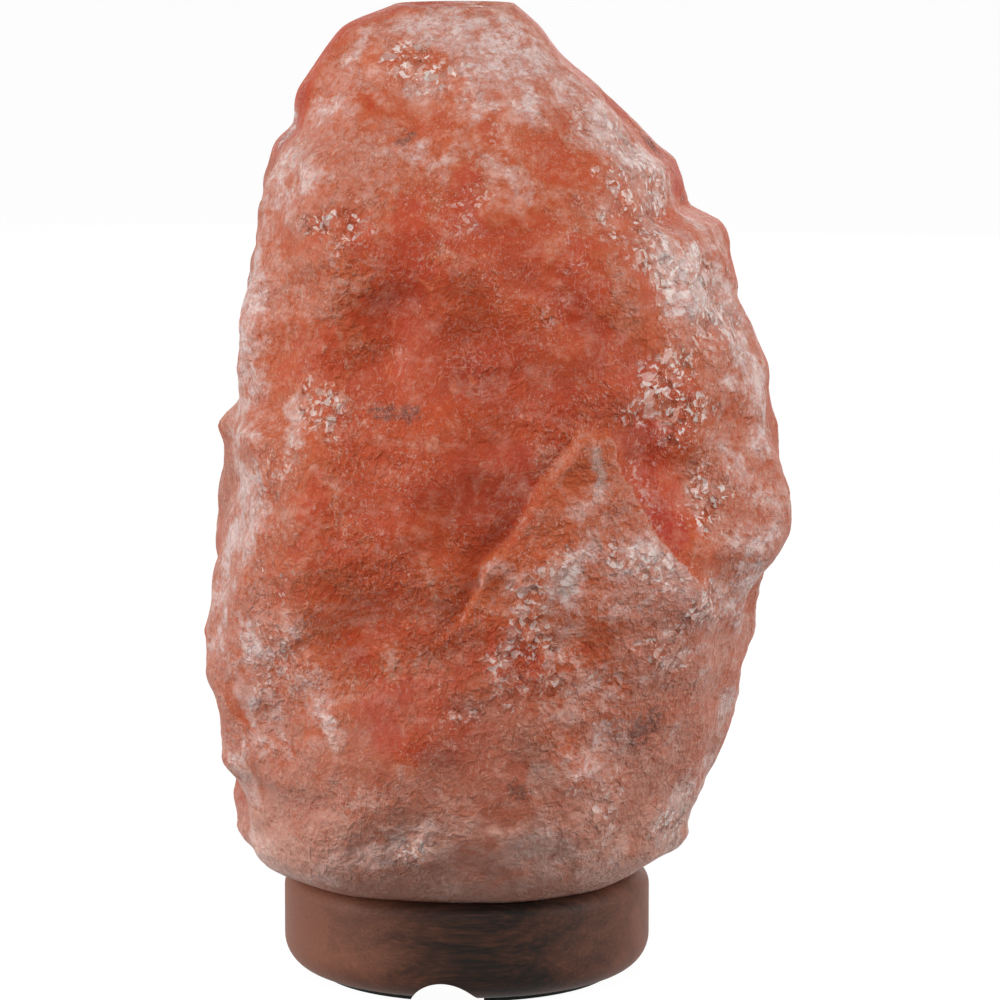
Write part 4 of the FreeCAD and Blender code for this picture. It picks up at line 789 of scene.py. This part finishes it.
def feltFinish():
    # dark felt: matted fluff over paler clumps
    surface = Surface("darkFelt")
    fluff = surface.noise(surface.place(), 2.6, 5.0, 0.75, 1.5)
    clump = surface.noise(surface.place(), 0.35, 3.0, 0.6)
    colour = surface.mix(fluff.over(0.3, 0.75), srgb(30, 34, 31), srgb(66, 72, 66))
    colour = surface.mix(clump.over(0.4, 0.7) * 0.3, colour, srgb(48, 50, 47))
    return surface.finish(colour=colour, roughness=0.95, normal=surface.bump(fluff, 0.35, 0.8), gloss=0.15, sheen=0.3)


def metalFinish(name, bright, dull, rough, scratchScale=1.4, tarnish=None):
    # brushed or plated metal: fine rings of scratches round Z, cloudy tarnish, finger-dulled spots
    surface = Surface(name)
    scratch = surface.noise(surface.place((0.3, 0.3, 2.2)), scratchScale, 4.0, 0.7)
    cloudy = surface.noise(surface.place(), 0.18, 4.0, 0.6, 0.7)
    colour = surface.mix(cloudy.over(0.35, 0.7), bright, dull)
    if tarnish:
        colour = surface.mix((cloudy * 0.5 + scratch * 0.5).over(0.52, 0.66) * 0.5, colour, tarnish)
    roughness = rough + (scratch - 0.5) * 0.16 + cloudy.over(0.45, 0.75) * 0.14
    return surface.finish(colour=colour, roughness=roughness, metallic=1.0, normal=surface.bump(scratch, 0.02, 0.4))


def plasticFinish(name, colour, lighter, rough, grainDepth=0.03):
    # moulded plastic: fine spark-eroded grain, faint flow clouds, slightly uneven gloss
    surface = Surface(name)
    grain = surface.noise(surface.place(), 3.4, 3.0, 0.6)
    flow = surface.noise(surface.place((1, 1, 0.35)), 0.11, 4.0, 0.6, 1.4)
    mixed = surface.mix(flow.over(0.35, 0.75) * 0.7, colour, lighter)
    roughness = rough + (grain - 0.5) * 0.2 + flow.over(0.5, 0.8) * 0.08
    return surface.finish(colour=mixed, roughness=roughness, normal=surface.bump(grain, grainDepth, 0.6), gloss=0.45)


def porcelainFinish():
    # glazed white porcelain with a few dark specks
    surface = Surface("porcelain")
    speck = surface.noise(surface.place(), 1.3, 3.0, 0.6)
    wave = surface.noise(surface.place(), 0.2, 3.0, 0.5)
    colour = surface.mix(wave.over(0.3, 0.7), srgb(226, 222, 212), srgb(238, 236, 228))
    colour = surface.mix(speck.over(0.68, 0.76) * 0.5, colour, srgb(168, 156, 140))
    return surface.finish(colour=colour, roughness=0.22 + speck * 0.12, normal=surface.bump(wave, 0.12, 0.4),
                          coat=0.4, coatRoughness=0.08)


def glassFinish(name, tint, rough=0.0):
    # blown glass: long faint ripples and a few wiped streaks
    surface = Surface(name)
    ripple = surface.noise(surface.place((1, 1, 0.4)), 0.12, 2.0, 0.5)
    streak = surface.noise(surface.place((1, 1, 0.2)), 0.5, 2.0, 0.5)
    colour = surface.mix(ripple.over(0.3, 0.7), tint, tuple(min(1.0, 1.02 * c) for c in tint[:3]) + (1.0,))
    return surface.finish(colour=colour, roughness=rough + streak.over(0.55, 0.9) * 0.03, clear=1.0, bend=1.47,
                          normal=surface.bump(ripple, 0.08, 0.3))


def glowWire():
    # the filament's grey, drawn metal with darker ends
    surface = Surface("tungstenWire")
    dust = surface.noise(surface.place(), 5.0, 3.0, 0.6)
    return surface.finish(colour=surface.mix(dust, srgb(92, 90, 88), srgb(150, 146, 140)), roughness=0.3 + dust * 0.3,
                          metallic=1.0)


finishes = {
    "wood": stainedWood(),
    "felt": feltFinish(),
    "zinc": metalFinish("zincPlate", srgb(196, 198, 200), srgb(164, 168, 172), 0.30, 1.2, srgb(150, 146, 134)),
    "spring": metalFinish("springSteel", srgb(168, 166, 162), srgb(128, 126, 124), 0.26, 2.4),
    "nylon": plasticFinish("whiteNylon", srgb(208, 204, 194), srgb(222, 219, 210), 0.42),
    "black": plasticFinish("blackPhenolic", srgb(20, 19, 19), srgb(34, 31, 30), 0.34),
    "bush": plasticFinish("greyBush", srgb(44, 44, 46), srgb(62, 62, 64), 0.48),
    "porcelain": porcelainFinish(),
    "brass": metalFinish("brassShell", srgb(216, 178, 102), srgb(186, 146, 78), 0.24, 1.8, srgb(140, 104, 60)),
    "cap": metalFinish("capNickel", srgb(206, 202, 192), srgb(176, 172, 164), 0.22, 2.0, srgb(160, 148, 126)),
    "solder": metalFinish("solderButton", srgb(176, 176, 176), srgb(140, 140, 142), 0.4, 2.4),
    "blackGlass": plasticFinish("blackGlassCone", srgb(14, 14, 18), srgb(28, 28, 34), 0.12, 0.01),
    "clear": glassFinish("clearBulbGlass", srgb(250, 250, 248)),
    "stem": glassFinish("stemGlass", srgb(236, 242, 238), 0.05),
    "wire": metalFinish("leadWire", srgb(190, 160, 130), srgb(160, 140, 120), 0.32, 3.0),
    "tungsten": glowWire(),
}

# CAD nodes that nothing replaces keep their meshes and take these materials
for finishName, nodeNames in {
        "felt": "felt_pad", "nylon": "wall_plugs", "zinc": "crystal_screws clip_rivets lock_washer",
        "spring": "clip_roots clip_arm_1 clip_arm_2 clip_arm_3", "brass": "nipple_nut terminal_screws contact_tongue",
        "blackGlass": "bulb_insulator", "wire": "lead_wires support_wire"}.items():
    for nodeName in nodeNames.split():
        materials = bpy.data.objects[nodeName].data.materials
        materials.clear()
        materials.append(finishes[finishName])


def ready(piece, finish, body, node):
    # a finished piece: its material, the body it rides on and the node it stands for
    piece.data.materials.clear()
    piece.data.materials.append(finishes[finish])
    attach(piece, body)
    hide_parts(node)
    return piece


def chosen(piece):
    # the one piece that the next operator works on
    bpy.ops.object.select_all(action="DESELECT")
    bpy.context.view_layer.objects.active = piece
    piece.select_set(True)


def creased(piece, angle):
    # round shading that keeps edges sharper than this angle
    chosen(piece)
    bpy.ops.object.shade_smooth_by_angle(angle=math.radians(angle), keep_sharp_edges=False)
    return piece


def smoothCopy(node, finish, body, crease):
    # a node's own mesh with its doubles merged and round shading
    mesh = bpy.data.objects[node].data.copy()
    mesh.name = node + "Smooth"
    piece = bpy.data.objects.new(node + "Smooth", mesh)
    bpy.context.scene.collection.objects.link(piece)
    chosen(piece)
    bpy.ops.object.mode_set(mode="EDIT")
    bpy.ops.mesh.select_all(action="SELECT")
    bpy.ops.mesh.remove_doubles(threshold=1e-6)
    bpy.ops.object.mode_set(mode="OBJECT")
    return ready(creased(piece, crease), finish, body, node)


for nodeName, finishName, bodyName, slotName, creaseAngle in [
        ("holder_cap", "black", "lamp_unit", "black_plastic", 28),
        ("holder_skirt", "black", "lamp_unit", "black_plastic", 28),
        ("cover_cup", "zinc", "lamp_unit", "zinc_steel", 50),
        ("holder_core", "porcelain", "lamp_unit", "porcelain", 30),
        ("cord_bush", "bush", "lamp_unit", "bush_plastic", 35)]:
    smoothCopy(nodeName, finishName, bodyName, creaseAngle)


# The turned base: radii, heights and depths in mm
wood = {
    "radius": 50.0, "low": 1.5, "high": 28.5, "lowerRound": 9.0, "upperRound": 4.5, "hole": 24.0,
    "recess": 27.5, "shoulder": 10.5, "channelRadius": 10.0, "channelAxis": -3.0, "channelTurn": -97.5,
    "fixingCircle": 34.0, "fixingAngles": (90, 210, 330), "counterbore": 3.8, "counterboreDepth": 10.0,
    "screwHole": 1.95, "overrun": 2.0, "around": 192, "crease": 38,
}


def arcPoints(middle, radius, first, last, count):
    # (radius, height) points on an arc between two angles in degrees above level
    turn = np.radians(np.linspace(first, last, count))
    return [(middle[0] + radius * math.cos(t), middle[1] + radius * math.sin(t)) for t in turn]


def rodPiece(radius, start, end, around=48):
    # a plain rod between two points: circles about its own axis, closed at both ends
    start, end = np.array(start, float), np.array(end, float)
    axis = (end - start) / np.linalg.norm(end - start)
    side = np.cross(axis, [0.31, 0.57, 0.76])
    side /= np.linalg.norm(side)
    other = np.cross(axis, side)
    turn = np.arange(around)[:, None] * 2 * math.pi / around
    ring = radius * (np.cos(turn) * side + np.sin(turn) * other)
    corners = np.concatenate([start + ring, end + ring, [start, end]])
    low, high = np.arange(around), around + np.arange(around)
    return makePiece("cutter", corners, [gridFaces(2, around), capFaces(low, 2 * around, flip=True),
                                         capFaces(high, 2 * around + 1)])


def woodBase():
    # one turned profile, then the cord channel, counterbores and screw holes cut away
    w = wood
    low, high, over = w["low"], w["high"], w["overrun"]
    profile = ([(w["recess"], low)]
               + arcPoints((w["radius"] - w["lowerRound"], low + w["lowerRound"]), w["lowerRound"], -90, 0, 14)
               + arcPoints((w["radius"] - w["upperRound"], high - w["upperRound"]), w["upperRound"], 0, 90, 9)
               + [(w["hole"], high), (w["hole"], w["shoulder"]), (w["recess"], w["shoulder"])])
    piece = lathe("woodenBaseTurned", profile, w["around"])
    turn = math.radians(w["channelTurn"])
    reach = 2 * w["radius"]
    cutters = [rodPiece(w["channelRadius"], (0, 0, w["channelAxis"]),
                        (reach * math.cos(turn), reach * math.sin(turn), w["channelAxis"]), 96)]
    for degrees in w["fixingAngles"]:
        x, y = [w["fixingCircle"] * f(math.radians(degrees)) for f in (math.cos, math.sin)]
        cutters.append(rodPiece(w["counterbore"], (x, y, low - over), (x, y, low + w["counterboreDepth"])))
        cutters.append(rodPiece(w["screwHole"], (x, y, low - over / 2), (x, y, high + over), 24))
    chosen(piece)
    for cutter in cutters:
        cut = piece.modifiers.new("cut", "BOOLEAN")
        cut.operation, cut.solver, cut.object = "DIFFERENCE", "EXACT", cutter
        bpy.ops.object.modifier_apply(modifier=cut.name)
        bpy.data.objects.remove(cutter)
    return ready(creased(piece, w["crease"]), "wood", "lamp_body", "wooden_base")


woodBase()
print("stage: base and holder")

# The screw that the cap and the shell share: mm a turn, depth, radius of its middle, and how finely it is drawn
screw = {"pitch": 2.822, "depth": 0.35, "radius": 6.6, "step": 0.3, "around": 96, "crease": 50}


def thread(low, high, depth, pitch):
    # a round thread: depth times the cosine of (height in turns less the angle), faded out at both ends
    def mark(radius, height, angle):
        fade = ease((height - low) / pitch) * ease((high - height) / pitch)
        return depth * fade * np.cos(2 * math.pi * height / pitch - angle)
    return mark


def levels(low, high, step):
    # even heights from low to high, about this step apart
    return np.linspace(low, high, max(2, int(round((high - low) / step)) + 1))


cap = {"low": 53.0, "neck": 66.0, "shoulder": 69.6, "top": 72.0, "flare": 8.4, "wall": 0.25, "lip": 0.35,
       "bead": 0.12, "beadMiddle": 0.5, "beadEnd": 1.0}


def bulbCap():
    # rolled screw cap: threaded wall with a narrowed lower lip, and a flared collar round the glass
    outside = [(screw["radius"] - cap["lip"] * (1 - ease((z - cap["low"]) / screw["pitch"])), z)
               for z in levels(cap["low"], cap["neck"], screw["step"])]
    outside += [(screw["radius"] + (cap["flare"] - screw["radius"]) * ease(t),
                 cap["neck"] + t * (cap["shoulder"] - cap["neck"])) for t in np.linspace(0.1, 1, 9)]
    outside += [(cap["flare"] + cap["bead"], cap["shoulder"] + cap["beadMiddle"]),
                (cap["flare"], cap["shoulder"] + cap["beadEnd"]), (cap["flare"], cap["top"])]
    inside = [(radius - cap["wall"], height) for radius, height in reversed(outside)]
    mark = thread(cap["low"], cap["neck"], screw["depth"], screw["pitch"])
    piece = lathe("bulbCapThreaded", outside + inside, screw["around"], mark)
    return ready(creased(piece, screw["crease"]), "cap", "bulb", "bulb_cap")


shell = {"low": 47.5, "high": 62.5, "gap": 0.2, "wall": 0.4, "mouth": 0.35, "mouthLong": 1.6}


def contactShell():
    # thin brass shell with the same thread, a little wider, and a plain mouth
    heights = levels(shell["low"], shell["high"], screw["step"])
    widened = shell["mouth"] * ease((heights - shell["high"] + shell["mouthLong"]) / shell["mouthLong"])
    inside = list(zip(screw["radius"] + shell["gap"] + widened, heights))
    outside = [(radius + shell["wall"], height) for radius, height in inside]
    mark = thread(shell["low"], shell["high"], screw["depth"], screw["pitch"])
    piece = lathe("contactShellThreaded", outside + inside[::-1], screw["around"], mark)
    return ready(creased(piece, screw["crease"]), "brass", "lamp_unit", "contact_shell")


nipple = {"low": 13.1, "high": 28.7, "radius": 4.78, "bore": 4.1, "pitch": 1.0, "depth": 0.22, "step": 0.14,
          "chamfer": 0.2, "chamferLong": 0.5, "around": 48}


def nippleTube():
    # the hollow tube that the cord passes through: threaded outside, plain inside, its lower end chamfered
    n = nipple
    outside = [(n["radius"] - n["chamfer"] * (1 - ease((z - n["low"]) / n["chamferLong"])), z)
               for z in levels(n["low"], n["high"], n["step"])]
    wound = thread(n["low"], n["high"], n["depth"], n["pitch"])

    def mark(radius, height, angle):
        return wound(radius, height, angle) if radius > n["bore"] else 0
    piece = lathe("nippleThreaded", outside + [(n["bore"], n["high"]), (n["bore"], n["low"])], n["around"], mark)
    return ready(creased(piece, screw["crease"]), "zinc", "lamp_unit", "nipple")


glass = {"neck": 7.7, "low": 69.0, "neckTop": 73.0, "belly": 14.0, "bellyLevel": 98.0, "shoulderAngle": -42.0,
         "pull": 16.0, "wall": 0.7, "around": 96}


def bulbGlass():
    # neck, a curve that leaves it upright and meets the ball along its own slope, the ball, and the same
    # line set in by the wall
    g = glass
    turn = math.radians(g["shoulderAngle"])
    start = np.array([g["neck"], g["neckTop"]])
    end = np.array([g["belly"] * math.cos(turn), g["bellyLevel"] + g["belly"] * math.sin(turn)])
    leave, arrive = np.array([0.0, g["pull"]]), g["pull"] * np.array([-math.sin(turn), math.cos(turn)])
    t = np.linspace(0, 1, 14)[:, None]
    curve = ((1 + 2 * t) * (1 - t) ** 2 * start + t * (1 - t) ** 2 * leave
             + t * t * (3 - 2 * t) * end - t * t * (1 - t) * arrive)
    ball = np.array(arcPoints((0, g["bellyLevel"]), g["belly"], g["shoulderAngle"], 90, 26))[1:]
    ball[-1, 0] = 0.0
    line = np.concatenate([[[g["neck"], g["low"]]], curve, ball])
    slope = np.gradient(line, axis=0)
    slope /= np.linalg.norm(slope, axis=1)[:, None]
    inner = line + g["wall"] * np.stack([-slope[:, 1], slope[:, 0]], axis=1)
    inner[0, 1], inner[-1] = g["low"], (0.0, line[-1, 1] - g["wall"])
    piece = lathe("bulbGlassBlown", np.concatenate([inner[::-1], line]), g["around"])
    return ready(piece, "clear", "bulb", "bulb_glass")


stem = {"low": 70.0, "waistLevel": 76.0, "top": 86.0, "foot": 6.0, "waist": 2.5, "tip": 1.2, "around": 64,
        "crease": 40}


def glassStem():
    # flared foot that narrows to a pinched rod with a rounded top
    s = stem
    flare = [(s["waist"] + (s["foot"] - s["waist"]) * (1 - t) ** 3, s["low"] + t * (s["waistLevel"] - s["low"]))
             for t in np.linspace(0, 1, 14)]
    top = arcPoints((s["waist"] - s["tip"], s["top"] - s["tip"]), s["tip"], 0, 90, 7)
    piece = lathe("glassStemPressed", [(0, s["low"])] + flare + top + [(0, s["top"])], s["around"])
    return ready(creased(piece, s["crease"]), "stem", "bulb", "glass_stem")


contact = {"low": 49.5, "high": 50.5, "radius": 2.4, "lump": 0.05, "lumps": 3, "lumpStart": 0.6, "around": 48}


def footContact():
    # a shallow dome of solder, slightly lumpy round its edge
    c = contact
    dome = [(c["radius"] * math.sin(t), c["high"] - (c["high"] - c["low"]) * math.cos(t))
            for t in np.linspace(0, math.pi / 2, 9)]

    def lumpy(radius, height, angle):
        return c["lump"] * radius / c["radius"] * np.sin(c["lumps"] * angle + c["lumpStart"])
    piece = lathe("footContactDomed", [(0, c["low"])] + dome[1:] + [(0, c["high"])], c["around"], lumpy)
    return ready(creased(piece, screw["crease"]), "solder", "bulb_foot", "foot_contact")


coil = {"ends": ((-4.0, 99.35), (0.0, 103.0), (4.0, 99.35)), "radius": 0.19, "wire": 0.055, "turns": 34, "steps": 16,
        "corners": 6}


def filamentCoil():
    # a wire round a helix whose middle runs from lead to support to lead: rings stand on the helix's own
    # outward direction and on what is square to it and to the run
    count, sides = 2 * coil["steps"] * coil["turns"], coil["corners"]
    t = np.linspace(0, 1, count)[:, None]
    ends = np.array([[x, 0.0, z] for x, z in coil["ends"]])
    middle = np.where(t < 0.5, ends[0] + (ends[1] - ends[0]) * 2 * t, ends[1] + (ends[2] - ends[1]) * (2 * t - 1))
    along = np.where(t < 0.5, ends[1] - ends[0], ends[2] - ends[1])
    along = along / np.linalg.norm(along, axis=1)[:, None]
    side = np.array([[0.0, 1.0, 0.0]])
    turn = 2 * math.pi * 2 * coil["turns"] * t
    out = np.cos(turn) * side + np.sin(turn) * np.cross(along, side)
    path = middle + coil["radius"] * out
    slope = np.gradient(path, axis=0)
    slope /= np.linalg.norm(slope, axis=1)[:, None]
    square = np.cross(slope, out)
    corner = np.arange(sides)[None, :, None] * 2 * math.pi / sides
    rings = path[:, None] + coil["wire"] * (np.cos(corner) * out[:, None] + np.sin(corner) * square[:, None])
    corners = np.concatenate([rings.reshape(-1, 3), [path[0], path[-1]]])
    first = np.arange(sides)
    faces = [gridFaces(count, sides, flip=True), capFaces(first, len(corners) - 2),
             capFaces(sides * (count - 1) + first, len(corners) - 1, flip=True)]
    return ready(makePiece("filamentCoiled", corners, faces), "tungsten", "bulb", "filament")


for makeOne in (bulbCap, contactShell, nippleTube, bulbGlass, glassStem, footContact, filamentCoil):
    makeOne()
print("stage: bulb and its shell")


def makeFloor():
    # a wide flat sheet: white to the camera with a faint shadow, plain pale grey to other light, clear from below
    half, low = studio["floorHalf"], studio["floorLevel"]
    corners = np.array([[-half, -half, low], [half, -half, low], [half, half, low], [-half, half, low]])
    piece = makePiece("studioFloor", corners, [np.array([[0, 1, 2, 3]])], smooth=False)
    surface = Surface("paleFloor")
    glow = surface.node("ShaderNodeEmission", {}, {"Color": (1, 1, 1, 1), "Strength": studio["floorGlow"]})
    shaded, plain = [surface.node("ShaderNodeBsdfDiffuse", {}, {"Color": (studio[name],) * 3 + (1,)})
                     for name in ("floorGrey", "floorBounce")]
    white = surface.node("ShaderNodeAddShader", {}, {0: glow, 1: shaded})
    above = surface.node("ShaderNodeMixShader", {}, {0: surface.seen(), 1: plain, 2: white})
    below = surface.node("ShaderNodeNewGeometry", output="Backfacing")
    clear = surface.node("ShaderNodeBsdfTransparent")
    both = surface.node("ShaderNodeMixShader", {}, {0: below, 1: above, 2: clear})
    surface.node("ShaderNodeOutputMaterial", {}, {"Surface": both})
    piece.data.materials.append(surface.owner)


def makeWorld():
    # white where the camera, gloss or glass sees it, plain grey as light
    surface = Surface("paleRoom", bpy.data.worlds)
    bpy.context.scene.world = surface.owner
    grey, white = [surface.node("ShaderNodeBackground", {}, {"Color": (1, 1, 1, 1), "Strength": strength})
                   for strength in (studio["worldGrey"], 1.0)]
    mixed = surface.node("ShaderNodeMixShader", {}, {0: surface.seen(), 1: grey, 2: white})
    surface.node("ShaderNodeOutputWorld", {}, {"Surface": mixed})


def aimAt(thing, target):
    # turn a lamp or camera so that its -Z looks at the target
    thing.rotation_euler = (Vector(target) - thing.location).to_track_quat("-Z", "Y").to_euler()


def makeLamps():
    # soft boxes on both sides, above, in front and behind
    for name, spot, width, depth, power, height in studio["lamps"]:
        light = bpy.data.lights.new(name, "AREA")
        light.shape = "RECTANGLE"
        light.size, light.size_y = width * mm, depth * mm
        light.energy = power
        lamp = bpy.data.objects.new(name, light)
        lamp.location = [c * mm for c in spot]
        bpy.context.scene.collection.objects.link(lamp)
        aimAt(lamp, (0, 0, height * mm))


def makeCamera():
    # where the photograph was taken from
    data = bpy.data.cameras.new("photoCamera")
    data.lens = studio["lens"]
    data.sensor_width = 36.0
    data.clip_end = 50.0
    camera = bpy.data.objects.new("photoCamera", data)
    bpy.context.scene.collection.objects.link(camera)
    tip = math.radians(studio["eyeHeightAngle"])
    aim = (studio["aimRight"] * mm, 0, studio["aimUp"] * mm)
    reach = studio["eyeDistance"] * mm
    camera.location = (aim[0], -reach * math.cos(tip), aim[2] + reach * math.sin(tip))
    aimAt(camera, aim)
    bpy.context.scene.camera = camera


makeFloor()
makeWorld()
makeLamps()
makeCamera()
bpy.context.scene.view_settings.view_transform = "Standard"
print("stage: floor, light and camera")
